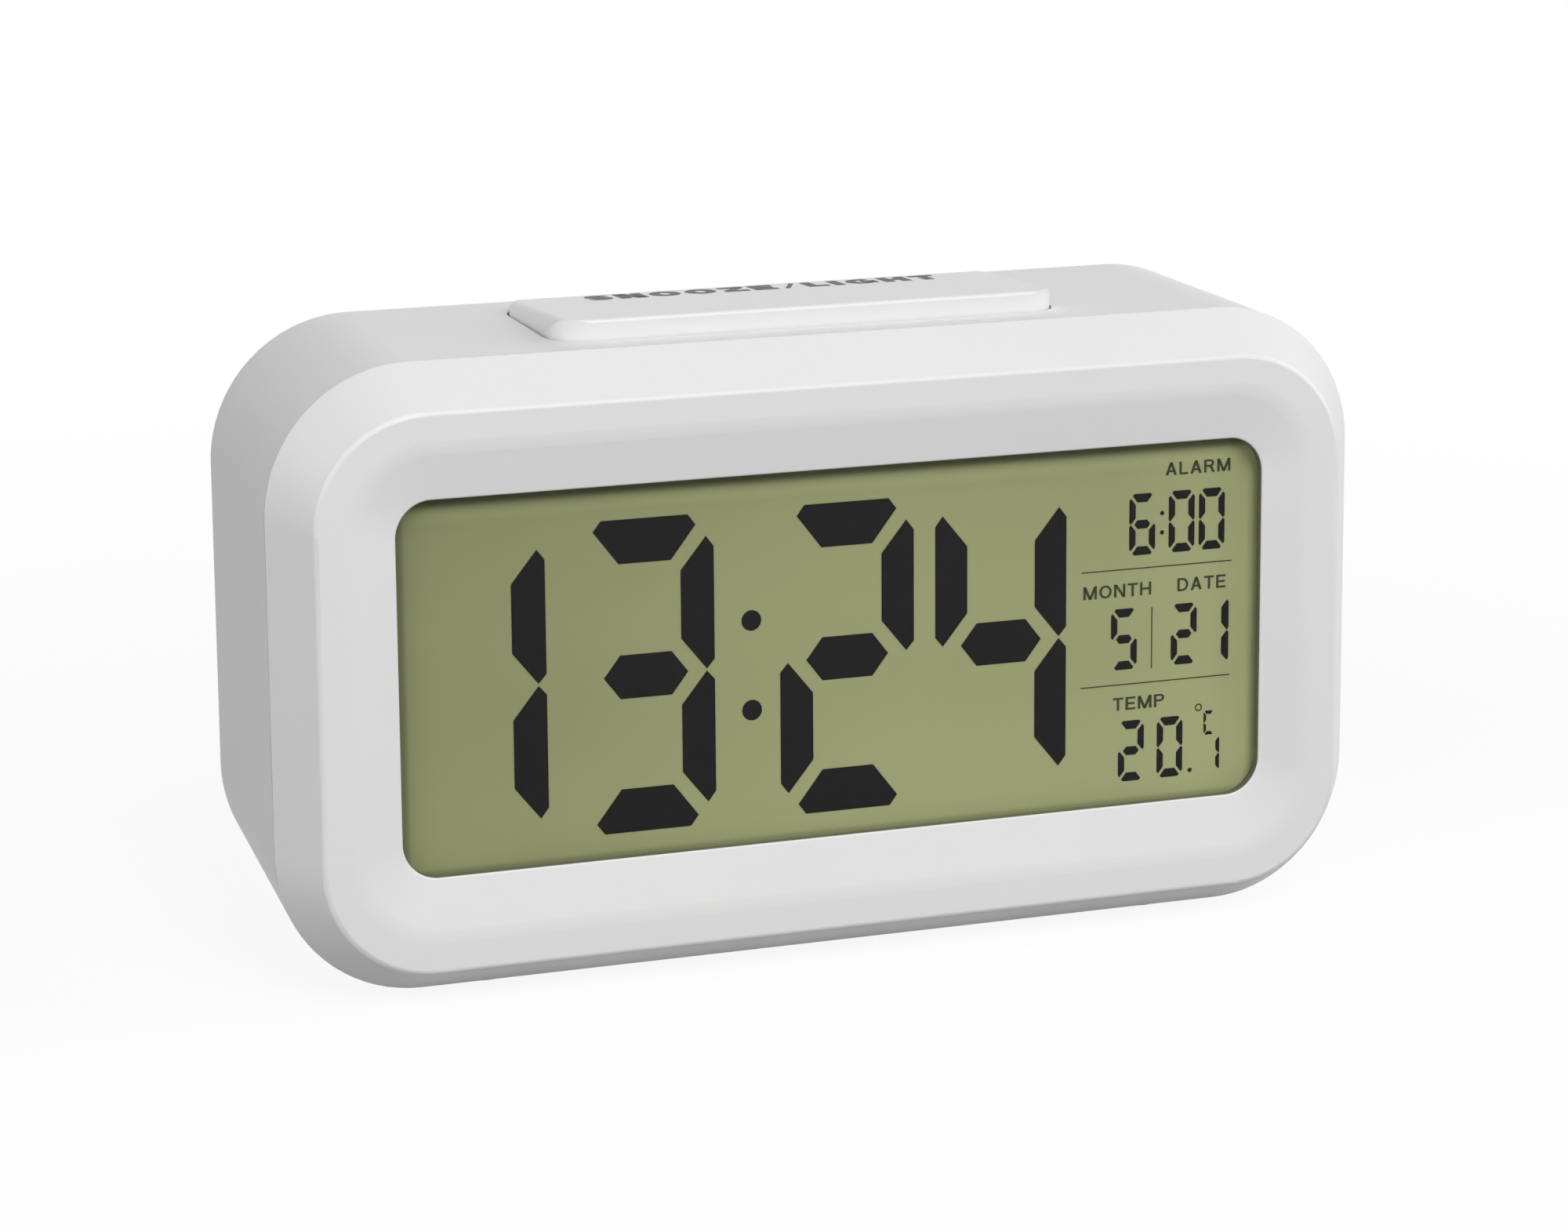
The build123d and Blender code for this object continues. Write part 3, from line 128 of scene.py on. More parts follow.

# %% [markdown]
# ## Where a point lies on the front
# The painted shade on the bezel's window wall and the painted light and shade on the display go by the
# distance from the window. A second group gives that place: how far a point is across and up the front from
# the window's middle, and how far behind its edge.

# %% The place group


def place_group():
    """Distances from the window's middle, in metres: across, up the front, and behind the window's edge."""
    group = bpy.data.node_groups.new("place_on_front", "ShaderNodeTree")
    leave = group.nodes.new("NodeGroupOutput")
    place = group.nodes.new("ShaderNodeTexCoord")
    offset = group.nodes.new("ShaderNodeVectorMath")
    offset.operation = "SUBTRACT"
    offset.inputs[1].default_value = window_middle
    link(group, place.outputs["Object"], offset.inputs[0])
    for result, direction in (("Across", ACROSS), ("Up", UP_THE_FRONT), ("Behind", -OUT_OF_FRONT)):
        group.interface.new_socket(result, in_out="OUTPUT", socket_type="NodeSocketFloat")
        measure = group.nodes.new("ShaderNodeVectorMath")
        measure.operation = "DOT_PRODUCT"
        measure.inputs[1].default_value = direction
        link(group, offset.outputs["Vector"], measure.inputs[0])
        link(group, measure.outputs["Value"], leave.inputs[result])
    return group


PLACE = place_group()
print("group made:", PLACE.name)

# %% [markdown]
# ## One recipe for most finishes
# A finish is a Principled shader whose colour, roughness and bump come from the grain group. What is the same
# all over the surface, such as the metal or the coat, is set on the shader's own sockets.

# %% The finish recipe
ROUGHNESS_SPREAD = 0.06


def ramp(tree, source, low, high):
    """A value from 0 to 1 spread between two numbers."""
    spread = tree.nodes.new("ShaderNodeMapRange")
    spread.inputs["To Min"].default_value = low
    spread.inputs["To Max"].default_value = high
    link(tree, source, spread.inputs["Value"])
    return spread.outputs["Result"]


def fade(tree, source, start, end):
    """0 at the start, 1 at the end, and a smooth change between them."""
    step = tree.nodes.new("ShaderNodeMapRange")
    step.interpolation_type = "SMOOTHSTEP"
    step.inputs["From Min"].default_value = start
    step.inputs["From Max"].default_value = end
    link(tree, source, step.inputs["Value"])
    return step.outputs["Result"]


def math_node(tree, operation, first, second):
    """One step of arithmetic on sockets or numbers."""
    step = tree.nodes.new("ShaderNodeMath")
    step.operation = operation
    for socket, value in zip(step.inputs, (first, second)):
        if isinstance(value, (int, float)):
            socket.default_value = value
        else:
            link(tree, value, socket)
    return step.outputs["Value"]


def shade(colour, amount):
    """A colour made lighter or darker by a share, as a shader takes it."""
    return (*[channel * amount for channel in colour], 1.0)


def blend_colours(tree, factor, first, second):
    """Two colours mixed by a factor."""
    mix = tree.nodes.new("ShaderNodeMix")
    mix.data_type = "RGBA"
    link(tree, factor, mix.inputs["Factor"])
    for name, colour in (("A", first), ("B", second)):
        socket = [s for s in mix.inputs if s.name == name and s.type == "RGBA"][0]
        if isinstance(colour, tuple):
            socket.default_value = colour
        else:
            link(tree, colour, socket)
    return [s for s in mix.outputs if s.type == "RGBA"][0]


def finish(name, colour, roughness, grain=0.3, depth=0.004, mottle=0.03, stretch=(1, 1, 1), **plain):
    """A material with grain size and depth in millimetres; plain values go to the shader's own sockets."""
    material = bpy.data.materials.new(name)
    material.use_nodes = True
    tree = material.node_tree
    shader = tree.nodes["Principled BSDF"]
    surface = tree.nodes.new("ShaderNodeGroup")
    surface.node_tree = GRAIN
    surface.inputs["Grain Size"].default_value = grain * MM
    surface.inputs["Stretch"].default_value = stretch
    darker, lighter = shade(colour, 1 - mottle), shade(colour, 1 + mottle)
    mottled = blend_colours(tree, surface.outputs["Mottle"], darker, lighter)
    link(tree, mottled, shader.inputs["Base Color"])
    smoothest, roughest = roughness - ROUGHNESS_SPREAD, roughness + ROUGHNESS_SPREAD
    link(tree, ramp(tree, surface.outputs["Mottle"], smoothest, roughest), shader.inputs["Roughness"])
    bump = tree.nodes.new("ShaderNodeBump")
    bump.inputs["Distance"].default_value = depth * MM
    link(tree, surface.outputs["Height"], bump.inputs["Height"])
    link(tree, bump.outputs["Normal"], shader.inputs["Normal"])
    for socket, value in plain.items():
        shader.inputs[socket.replace("_", " ")].default_value = value
    return material


def dress(material, *names):
    """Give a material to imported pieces."""
    for name in names:
        nodes[name].data.materials.clear()
        nodes[name].data.materials.append(material)


# %% [markdown]
# ## The case
# The shells are satin white plastic. Light sinks into such plastic a little, but at this size a plain diffuse
# body with a soft gloss looks the same and renders faster. The bar is moulded apart, a shade whiter.

# %% White plastics
CASE_WHITE = (0.80, 0.80, 0.797)
BAR_WHITE = (0.815, 0.815, 0.812)
KEY_WHITE = (0.74, 0.74, 0.735)
dress(finish("case_plastic", CASE_WHITE, 0.42, depth=0.004, mottle=0.012), "rear_housing", "battery_door")
dress(finish("bar_plastic", BAR_WHITE, 0.40, depth=0.004, mottle=0.012), "snooze_bar")
key_plastic = finish("key_plastic", KEY_WHITE, 0.45, depth=0.006)
dress(key_plastic, "set_key", "up_key", "down_key", "alarm_key", "alarm_switch_knob")
dress(finish("holder_plastic", (0.84, 0.84, 0.83), 0.5), "lcd_holder")
dress(finish("reflector_film", (0.88, 0.88, 0.87), 0.6, grain=0.1), "reflector_sheet")
print("white plastics on the case, the bar and the keys")

# %% [markdown]
# ## The bezel's window wall
# The front shell is the same plastic, but the wall of its window carries painted shade: a dark olive, as the
# wall looks in the shade of the window with a painted reflection of the display's green, so that the display
# looks deep and its edge crisp. The painted shade starts just behind the rounded edge of the window.

# %% Bezel
# Painted shade: the dark olive of the window's wall in the window's shade, with the display's green on it.
WALL_SHADE = (0.125, 0.132, 0.092, 1.0)
PAINT_START = 0.10 * MM
PAINT_END = 0.22 * MM
PAINT_HALF_WIDTH = 54.3 * MM
PAINT_HALF_HEIGHT = 22.3 * MM
bezel = finish("bezel_plastic", CASE_WHITE, 0.42, depth=0.004, mottle=0.012)
tree = bezel.node_tree
place = tree.nodes.new("ShaderNodeGroup")
place.node_tree = PLACE
# Where the painted shade goes: just behind the window's edge and inside the window's outline.
painted = fade(tree, place.outputs["Behind"], PAINT_START, PAINT_END)
for axis, limit in (("Across", PAINT_HALF_WIDTH), ("Up", PAINT_HALF_HEIGHT)):
    from_middle = math_node(tree, "ABSOLUTE", place.outputs[axis], 0)
    painted = math_node(tree, "MULTIPLY", painted, math_node(tree, "LESS_THAN", from_middle, limit))
bezel_shader = tree.nodes["Principled BSDF"]
plain_white = bezel_shader.inputs["Base Color"].links[0].from_socket
link(tree, blend_colours(tree, painted, plain_white, WALL_SHADE), bezel_shader.inputs["Base Color"])
dress(bezel, "front_bezel")
print("bezel painted from", round(PAINT_START / MM, 2), "mm behind the window's edge")

# %% [markdown]
# ## Dark plastics, rubber and sleeves
# These sit inside or underneath. Switch bodies are black plastic, the display's foam frame is dull and porous,
# and the connector strips are layered rubber, so their noise is squeezed along the strip.

# %% Dark and soft pieces
stems = [name for name in nodes if name.endswith("_stem")]
dress(finish("switch_plastic", (0.03, 0.03, 0.032), 0.45), "snooze_switch", "key_switches", *stems)
dress(finish("chip_resin", (0.018, 0.018, 0.02), 0.3, grain=1.0, depth=0.02), "chip_cover", "temperature_bead")
dress(finish("foam", (0.03, 0.031, 0.028), 0.95, grain=0.15, depth=0.03, mottle=0.3), "display_gasket")
dress(finish("foot_rubber", (0.22, 0.22, 0.22), 0.85, grain=0.25, depth=0.01, mottle=0.1), "rubber_feet")
layered = finish("layered_rubber", (0.2, 0.18, 0.18), 0.8, grain=0.4, mottle=0.4, stretch=(6, 0.2, 0.2))
dress(layered, "contact_strips")
dress(finish("red_sleeve", (0.5, 0.025, 0.02), 0.4, mottle=0.08), "red_battery_lead")
black_sleeve = finish("black_sleeve", (0.02, 0.02, 0.02), 0.4, mottle=0.15)
dress(black_sleeve, "black_battery_lead", "buzzer_leads", "snooze_leads")
ribbed = finish("ribbon_sleeve", (0.42, 0.42, 0.43), 0.45, grain=0.6, mottle=0.2, stretch=(4, 0.3, 0.3))
dress(ribbed, "key_ribbon")
print("dark and soft pieces dressed")

# %% [markdown]
# ## Metals
# Screws are zinc plated, contacts and springs nickel plated, and the buzzer is a rolled brass disc with a
# silvered ceramic layer. Rolling and drawing leave faint lines, made by stretching the grain along one axis.

# %% Metals and ceramic
screws = [name for name in nodes if name.endswith("_screws")]
dress(finish("zinc_plate", (0.62, 0.62, 0.61), 0.32, mottle=0.06, Metallic=1.0), *screws)
plated = finish("nickel_plate", (0.70, 0.69, 0.66), 0.25, mottle=0.05, stretch=(1, 1, 6), Metallic=1.0)
contacts = [name for name in nodes if name.endswith("_contact")]
springs = [name for name in nodes if name.endswith("_contact_spring")]
dress(plated, *contacts, *springs, "alarm_switch", "quartz_crystal")
rolled = finish("rolled_brass", (0.72, 0.53, 0.24), 0.3, mottle=0.1, stretch=(8, 1, 1), Metallic=1.0)
dress(rolled, "buzzer_plate")
dress(finish("silvered_ceramic", (0.80, 0.78, 0.73), 0.35, grain=0.15, mottle=0.08), "buzzer_ceramic")
print("metals on", len(screws) + len(contacts) + len(springs), "groups of screws, contacts and springs")

# %% [markdown]
# ## Boards
# A circuit board is green solder mask over copper tracks. A brick pattern makes lighter strips that read as
# tracks.

# %% Circuit boards
TRACK_SCALE = 120.0
TRACK_GAP = 0.03
TRACK_GREEN = (0.06, 0.30, 0.12, 1.0)
board = finish("solder_mask", (0.02, 0.16, 0.06), 0.3, mottle=0.15)
tree = board.node_tree
board_shader = tree.nodes["Principled BSDF"]
mask_colour = board_shader.inputs["Base Color"].links[0].from_socket
tracks = tree.nodes.new("ShaderNodeTexBrick")
tracks.inputs["Scale"].default_value = TRACK_SCALE
tracks.inputs["Mortar Size"].default_value = TRACK_GAP
place = tree.nodes.new("ShaderNodeTexCoord")
flat = tree.nodes.new("ShaderNodeMapping")
flat.inputs["Rotation"].default_value = (math.radians(90), 0, 0)
link(tree, place.outputs["Object"], flat.inputs["Vector"])
link(tree, flat.outputs["Vector"], tracks.inputs["Vector"])
tracked = blend_colours(tree, tracks.outputs["Fac"], mask_colour, TRACK_GREEN)
link(tree, tracked, board_shader.inputs["Base Color"])
dress(board, "main_board", "snooze_board", "key_board")
print("boards dressed")

# %% [markdown]
# ## Clear pieces
# The lens is a pane of acrylic right in front of the display. Bending light through it would only darken the
# display, so it is a thin veil: a mostly open surface whose gloss still shows at a slant.

# %% Lens, light guide and lamps
LENS_VEIL = 0.03
lens = finish("clear_lens", (0.03, 0.03, 0.03), 0.12, grain=2.0, depth=0.0005, Alpha=LENS_VEIL)
dress(lens, "display_lens")
dress(finish("light_guide_acrylic", (0.80, 0.84, 0.78), 0.15, grain=1.0), "light_guide")
dress(finish("lamp_resin", (0.85, 0.80, 0.55), 0.2, grain=0.4), "backlight_leds")
print("lens veil", LENS_VEIL)

# %% [markdown]
# ## The display glass
# A reflective display is olive green. Light and shade are painted into that green: painted light makes it a
# little lighter to the right, in a band below its top and towards the bottom, and painted shade makes it darker
# towards the top and dark close to the rim at the top, at the bottom and on the left, where the bezel shades
# it.
# Each change has an axis on the front, a start, an end and a share by which the colour is raised or lowered
# from there on.

# %% Display glass
DISPLAY_GREEN = (0.320, 0.344, 0.171)
# Painted light (raised shares) and painted shade (lowered shares) on the display's green: axis, start and end
# in mm, share.
PAINTED_LIGHT_AND_SHADE = [
    ("Across", -50.0, 10.0, 0.23),
    ("Across", 34.0, 50.0, 0.13),
    ("Up", 4.0, 18.0, -0.07),
    ("Up", -2.0, -18.0, 0.07),
    ("Up", 18.2, 19.9, 0.32),
    ("Up", 20.1, 21.1, -0.55),
    ("Up", -21.3, -22.0, -0.30),
    ("Across", 52.3, 53.8, 0.15),
    ("Across", -52.0, -52.9, -0.40),
]
glass = finish("display_glass", DISPLAY_GREEN, 0.5, grain=0.2, depth=0.001, mottle=0.02, Specular_IOR_Level=0.2)
tree = glass.node_tree
glass_shader = tree.nodes["Principled BSDF"]
place = tree.nodes.new("ShaderNodeGroup")
place.node_tree = PLACE
# The painted light and shade multiply the display's green, one change after another.
share = 1.0
for axis, start, end, change in PAINTED_LIGHT_AND_SHADE:
    changed = ramp(tree, fade(tree, place.outputs[axis], start * MM, end * MM), 1.0, 1.0 + change)
    share = math_node(tree, "MULTIPLY", changed, share)
shaded = tree.nodes.new("ShaderNodeVectorMath")
shaded.operation = "SCALE"
link(tree, glass_shader.inputs["Base Color"].links[0].from_socket, shaded.inputs[0])
link(tree, share, shaded.inputs["Scale"])
link(tree, shaded.outputs["Vector"], glass_shader.inputs["Base Color"])
dress(glass, "lcd_panel")
print("display glass dressed, with", len(PAINTED_LIGHT_AND_SHADE), "changes of its green")

# %% [markdown]
# ## Battery cells
# A cell has a printed steel jacket with bare ends. The bare ends and a plain band near the plus end are told
# apart by X, along the cell. The cells lie turn about, so each one has its own material.

# %% Battery jackets
JACKET = (0.035, 0.04, 0.05)
BAND = (0.55, 0.33, 0.10, 1.0)
BARE = (0.62, 0.62, 0.60, 1.0)
PLUS_CAP = 2.0 * MM
MINUS_CAP = 1.2 * MM
BAND_START = 4.0 * MM
BAND_END = 13.0 * MM


def jacket(name, node, plus_side):
    """A cell's jacket: a band towards its plus end and bare metal at both ends."""
    low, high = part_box(node)
    material = finish(name, JACKET, 0.3, mottle=0.1, Coat_Weight=0.4)
    tree = material.node_tree
    shader = tree.nodes["Principled BSDF"]
    place = tree.nodes.new("ShaderNodeTexCoord")
    axes = tree.nodes.new("ShaderNodeSeparateXYZ")
    link(tree, place.outputs["Object"], axes.inputs["Vector"])
    plus_x = high.x if plus_side > 0 else low.x
    from_plus = math_node(tree, "MULTIPLY", math_node(tree, "SUBTRACT", plus_x, axes.outputs["X"]), plus_side)
    after = math_node(tree, "GREATER_THAN", from_plus, BAND_START)
    before = math_node(tree, "LESS_THAN", from_plus, BAND_END)
    banded = math_node(tree, "MULTIPLY", after, before)
    near_plus = math_node(tree, "LESS_THAN", from_plus, PLUS_CAP)
    near_minus = math_node(tree, "GREATER_THAN", from_plus, high.x - low.x - MINUS_CAP)
    bare = math_node(tree, "MAXIMUM", near_plus, near_minus)
    jacket_colour = shader.inputs["Base Color"].links[0].from_socket
    with_band = blend_colours(tree, banded, jacket_colour, BAND)
    link(tree, blend_colours(tree, bare, with_band, BARE), shader.inputs["Base Color"])
    link(tree, bare, shader.inputs["Metallic"])
    return material


for cell, side in (("upper_battery", 1), ("middle_battery", -1), ("lower_battery", 1)):
    dress(jacket(f"{cell}_jacket", cell, side), cell)
print("three cells dressed")

# %% [markdown]
# ## Figures of the display
# Each figure is made of up to seven bars in a cell. Only three shapes are drawn: the top bar, the upper right
# bar and the middle bar. The others are their mirror images. A small figure is the same drawing, scaled down.

# %% Drawing the figures
CELL_HEIGHT = 36.8
DOT_SIDES = 32
TOP_BAR = [(-6.22, 17.14), (-5.26, 18.38), (5.26, 18.38), (6.22, 17.14), (3.17, 13.23), (-3.17, 13.23)]
SIDE_BAR = [(7.45, 15.70), (8.40, 14.47), (8.40, 1.22), (7.43, 0.12), (4.33, 3.90), (4.33, 11.90)]
MIDDLE_BAR = [(-5.13, 0), (-3.13, 2.56), (3.13, 2.56), (5.13, 0), (3.13, -2.56), (-3.13, -2.56)]
BARS = {
    "a": (TOP_BAR, 1, 1),
    "b": (SIDE_BAR, 1, 1),
    "c": (SIDE_BAR, 1, -1),
    "d": (TOP_BAR, 1, -1),
    "e": (SIDE_BAR, -1, -1),
    "f": (SIDE_BAR, -1, 1),
    "g": (MIDDLE_BAR, 1, 1),
}
FIGURES = {
    "0": "abcdef",
    "1": "bc",
    "2": "abged",
    "3": "abgcd",
    "4": "fbgc",
    "5": "afgcd",
    "6": "afgecd",
    "C": "afed",
}


def add_polygon(drawing, corners):
    """A flat face in a drawing, from corners in millimetres."""
    drawing.faces.new([drawing.verts.new((x * MM, y * MM, 0)) for x, y in corners])


def add_figure(drawing, character, x, y, height):
    """A figure with its cell's middle at x, y."""
    scale = height / CELL_HEIGHT
    for bar in FIGURES[character]:
        shape, flip_x, flip_y = BARS[bar]
        add_polygon(drawing, [(x + scale * flip_x * across, y + scale * flip_y * up) for across, up in shape])


def add_dot(drawing, x, y, radius):
    """A round dot."""
    spot = Matrix.Translation((x * MM, y * MM, 0))
    bmesh.ops.create_circle(drawing, cap_ends=True, segments=DOT_SIDES, radius=radius * MM, matrix=spot)


def add_line(drawing, start, end, width):
    """A thin straight line, level or upright."""
    (x0, y0), (x1, y1) = start, end
    half = width / 2
    if y0 == y1:
        add_polygon(drawing, [(x0, y0 - half), (x1, y0 - half), (x1, y0 + half), (x0, y0 + half)])
    else:
        add_polygon(drawing, [(x0 - half, y0), (x0 - half, y1), (x0 + half, y1), (x0 + half, y0)])


def raise_print(drawing, name, place, body, material):
    """Give a drawing its thickness, carry it to its place and let it ride on a body."""
    bmesh.ops.recalc_face_normals(drawing, faces=drawing.faces)
    lifted = bmesh.ops.extrude_face_region(drawing, geom=drawing.faces[:])
    top = [item for item in lifted["geom"] if isinstance(item, bmesh.types.BMVert)]
    bmesh.ops.translate(drawing, verts=top, vec=(0, 0, PRINT_THICKNESS))
    bmesh.ops.recalc_face_normals(drawing, faces=drawing.faces)
    bmesh.ops.transform(drawing, matrix=place, verts=drawing.verts)
    mesh = bpy.data.meshes.new(name)
    drawing.to_mesh(mesh)
    drawing.free()
    piece = bpy.data.objects.new(name, mesh)
    scene.collection.objects.link(piece)
    mesh.materials.append(material)
    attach(piece, body)
    print(name, "has", len(mesh.polygons), "faces")


INK_FINISH = {"roughness": 0.6, "depth": 0.0005, "mottle": 0.1, "Specular_IOR_Level": 0.1}
ink = finish("display_ink", (0.013, 0.012, 0.012), **INK_FINISH)
faint_ink = finish("display_fine_ink", (0.06, 0.065, 0.036), **INK_FINISH)

# %% [markdown]
# ## What the display shows
# The time fills most of the display. A column at the right has the alarm time, the date and the temperature,
# parted by thin rules. Places are millimetres from the middle of the window, measured in the photograph's
# perspective.

# %% Time
TIME_HEIGHT = 36.9
TIME_MIDDLE = -1.0
TIME_FIGURES = [("1", -44.05), ("3", -23.58), ("2", 1.35), ("4", 20.92)]
COLON_X = -10.6
COLON_HEIGHTS = (4.33, -6.33)
COLON_DOT = 1.22
time = bmesh.new()
for character, x in TIME_FIGURES:
    add_figure(time, character, x, TIME_MIDDLE, TIME_HEIGHT)
for y in COLON_HEIGHTS:
    add_dot(time, COLON_X, y, COLON_DOT)
raise_print(time, "time_figures", ON_GLASS, "case", ink)

# %% Alarm time, date and temperature
SMALL_HEIGHT = 7.45
ONE_HEIGHT = 8.75
TENTHS_HEIGHT = 4.6
UNIT_HEIGHT = 2.97
ALARM_ROW = 11.82
DATE_ROW = -2.0
TEMPERATURE_ROW = -15.79
TENTHS_ROW = -17.15
UNIT_ROW = -13.28
SMALL_FIGURES = [
    ("6", 39.24, ALARM_ROW, SMALL_HEIGHT),
    ("0", 44.42, ALARM_ROW, SMALL_HEIGHT),
    ("0", 48.40, ALARM_ROW, SMALL_HEIGHT),
    ("5", 36.94, DATE_ROW, SMALL_HEIGHT),
    ("2", 44.85, DATE_ROW, SMALL_HEIGHT),
    ("2", 37.97, TEMPERATURE_ROW, SMALL_HEIGHT),
    ("0", 43.10, TEMPERATURE_ROW, SMALL_HEIGHT),
    ("1", 48.80, DATE_ROW, ONE_HEIGHT),
    ("1", 48.70, TENTHS_ROW, TENTHS_HEIGHT),
    ("C", 48.30, UNIT_ROW, UNIT_HEIGHT),
]
SMALL_COLON_DOT = 0.26
POINT_DOT = 0.27
SMALL_DOTS = [
    (41.85, 12.97, SMALL_COLON_DOT),
    (41.85, 10.63, SMALL_COLON_DOT),
    (45.83, -18.95, POINT_DOT),
]
column = bmesh.new()
for small_figure in SMALL_FIGURES:
    add_figure(column, *small_figure)
for small_dot in SMALL_DOTS:
    add_dot(column, *small_dot)
raise_print(column, "small_figures", ON_GLASS, "case", ink)

# %% Rules and the degree ring
RULE_WIDTH = 0.13
RULES = [
    ((31.35, 6.5), (51.1, 6.5)),
    ((31.3, -7.55), (51.0, -7.55)),
    ((40.6, 1.6), (40.6, -5.87)),
]
RING_OUTER = 0.48 * MM
RING_INNER = 0.32 * MM
RING_SPOT = (46.91 * MM, -11.29 * MM, 0)
RING_SIDES = 24
rules = bmesh.new()
for start, end in RULES:
    add_line(rules, start, end, RULE_WIDTH)
outer = bmesh.ops.create_circle(rules, segments=RING_SIDES, radius=RING_OUTER)["verts"]
inner = bmesh.ops.create_circle(rules, segments=RING_SIDES, radius=RING_INNER)["verts"]
ring_edges = list({edge for vertex in outer + inner for edge in vertex.link_edges})
bmesh.ops.translate(rules, verts=outer + inner, vec=RING_SPOT)
bmesh.ops.bridge_loops(rules, edges=ring_edges)
raise_print(rules, "display_rules", ON_GLASS, "case", faint_ink)

# %% [markdown]
# ## Plain letters
# The display names its small figures, and the bar says what it does, in plain capitals. Each letter is put
# together from uprights, level bars, slanted bars and bends. The shapes are drawn for a cap height of 1 and a
# given stroke.

# %% Drawing the letters
BEND_STEP = 15


def upright(x, stroke, low=0.0, high=1.0):
    """An upright bar with its left side at x."""
    return [(x, low), (x + stroke, low), (x + stroke, high), (x, high)]


def level(y, stroke, start, end):
    """A level bar with its lower side at y."""
    return [(start, y), (end, y), (end, y + stroke), (start, y + stroke)]


def slant(low_x, high_x, stroke, low=0.0, high=1.0):
    """A slanted bar with level ends."""
    return [(low_x, low), (low_x + stroke, low), (high_x + stroke, high), (high_x, high)]


def bend(x, y, across, up, stroke, start, end):
    """A bent bar around x, y, as short pieces between two angles in degrees."""
    steps = round((end - start) / BEND_STEP)
    turns = [math.radians(start + (end - start) * step / steps) for step in range(steps + 1)]
    outer = [(x + across * math.cos(turn), y + up * math.sin(turn)) for turn in turns]
    inner = [(x + (across - stroke) * math.cos(turn), y + (up - stroke) * math.sin(turn)) for turn in turns]
    return [[outer[i], outer[i + 1], inner[i + 1], inner[i]] for i in range(steps)]


def letter_shapes(s):
    """The width and the shapes of each letter, for a stroke s."""
    d = 1.15 * s
    bowl = (1 + s) / 4
    bars = [level(1 - s, s, s, 0.38), level(0.43, s, s, 0.38)]
    loop = [upright(0, s), *bars, *bend(0.38, 0.715, 0.27, 0.285, s, -90, 90)]
    ends = [level(0, s, s, 0.34), level(1 - s, s, s, 0.34)]
    arms = [level(0, s, s, 0.62), level(1 - s, s, s, 0.62), level(0.5 - s / 2, s, s, 0.57)]
    spur = [level(0.36, s, 0.42, 0.8), upright(0.8 - s, s, 0.12, 0.36)]
    vee = [slant(0.43 - d / 2, 0, d), slant(0.43 - d / 2, 0.86 - d, d)]
    legs = [slant(0, 0.37 - d / 2, d), slant(0.74 - d, 0.37 - d / 2, d)]
    curls = [*bend(0.33, 1 - bowl, 0.33, bowl, s, 15, 270), *bend(0.33, bowl, 0.33, bowl, s, -165, 90)]
    return {
        "A": (0.74, [*legs, level(0.24, s, 0.17, 0.57)]),
        "D": (0.72, [upright(0, s), *ends, *bend(0.34, 0.5, 0.38, 0.5, s, -90, 90)]),
        "E": (0.62, [upright(0, s), *arms]),
        "G": (0.80, [*bend(0.4, 0.5, 0.4, 0.5, s, 45, 330), *spur]),
        "H": (0.72, [upright(0, s), upright(0.72 - s, s), level(0.5 - s / 2, s, s, 0.72 - s)]),
        "I": (s, [upright(0, s)]),
        "L": (0.56, [upright(0, s), level(0, s, s, 0.56)]),
        "M": (0.86, [upright(0, s), upright(0.86 - s, s), *vee]),
        "N": (0.72, [upright(0, s), upright(0.72 - s, s), slant(0.72 - d, 0, d)]),
        "O": (0.80, bend(0.4, 0.5, 0.4, 0.5, s, 0, 360)),
        "P": (0.65, loop),
        "R": (0.70, [*loop, slant(0.7 - d, 0.34, d, 0, 0.43 + s / 2)]),
        "S": (0.66, curls),
        "T": (0.64, [level(1 - s, s, 0, 0.64), upright(0.32 - s / 2, s, 0, 1 - s)]),
        "Z": (0.66, [level(0, s, 0, 0.66), level(1 - s, s, 0, 0.66), slant(0, 0.66 - d, d, s, 1 - s)]),
        "/": (0.52, [slant(0, 0.52 - s / 2, s / 2)]),
    }


def add_word(drawing, word, left, right, baseline, cap_height, stroke, gap):
    """A word between two sides, on its baseline, in millimetres; stroke and gap are in the letters' units."""
    shapes = letter_shapes(stroke)
    total = sum(shapes[letter][0] + gap for letter in word) - gap
    wide = (right - left) / total
    start = 0
    for letter in word:
        width, polygons = shapes[letter]
        for corners in polygons:
            placed = [(left + wide * (start + x), baseline + cap_height * y) for x, y in corners]
            add_polygon(drawing, placed)
        start += width + gap


# %% Words on the display
WORDS = [
    ("ALARM", 42.25, 50.8, 17.48, 1.54),
    ("MONTH", 31.6, 40.48, 3.18, 1.57),
    ("DATE", 43.95, 50.33, 3.26, 1.58),
    ("TEMP", 35.56, 42.34, -10.72, 1.57),
]
WORD_STROKE = 0.15
WORD_GAP = 0.16
words = bmesh.new()
for word in WORDS:
    add_word(words, *word, WORD_STROKE, WORD_GAP)
raise_print(words, "display_words", ON_GLASS, "case", faint_ink)

# %% [markdown]
# ## Words on the bar
# The bar's top falls by about four degrees towards the back, so its words have a frame of their own. It starts
# at the front of the flat top, just behind the rounded edge, where the bar is highest.

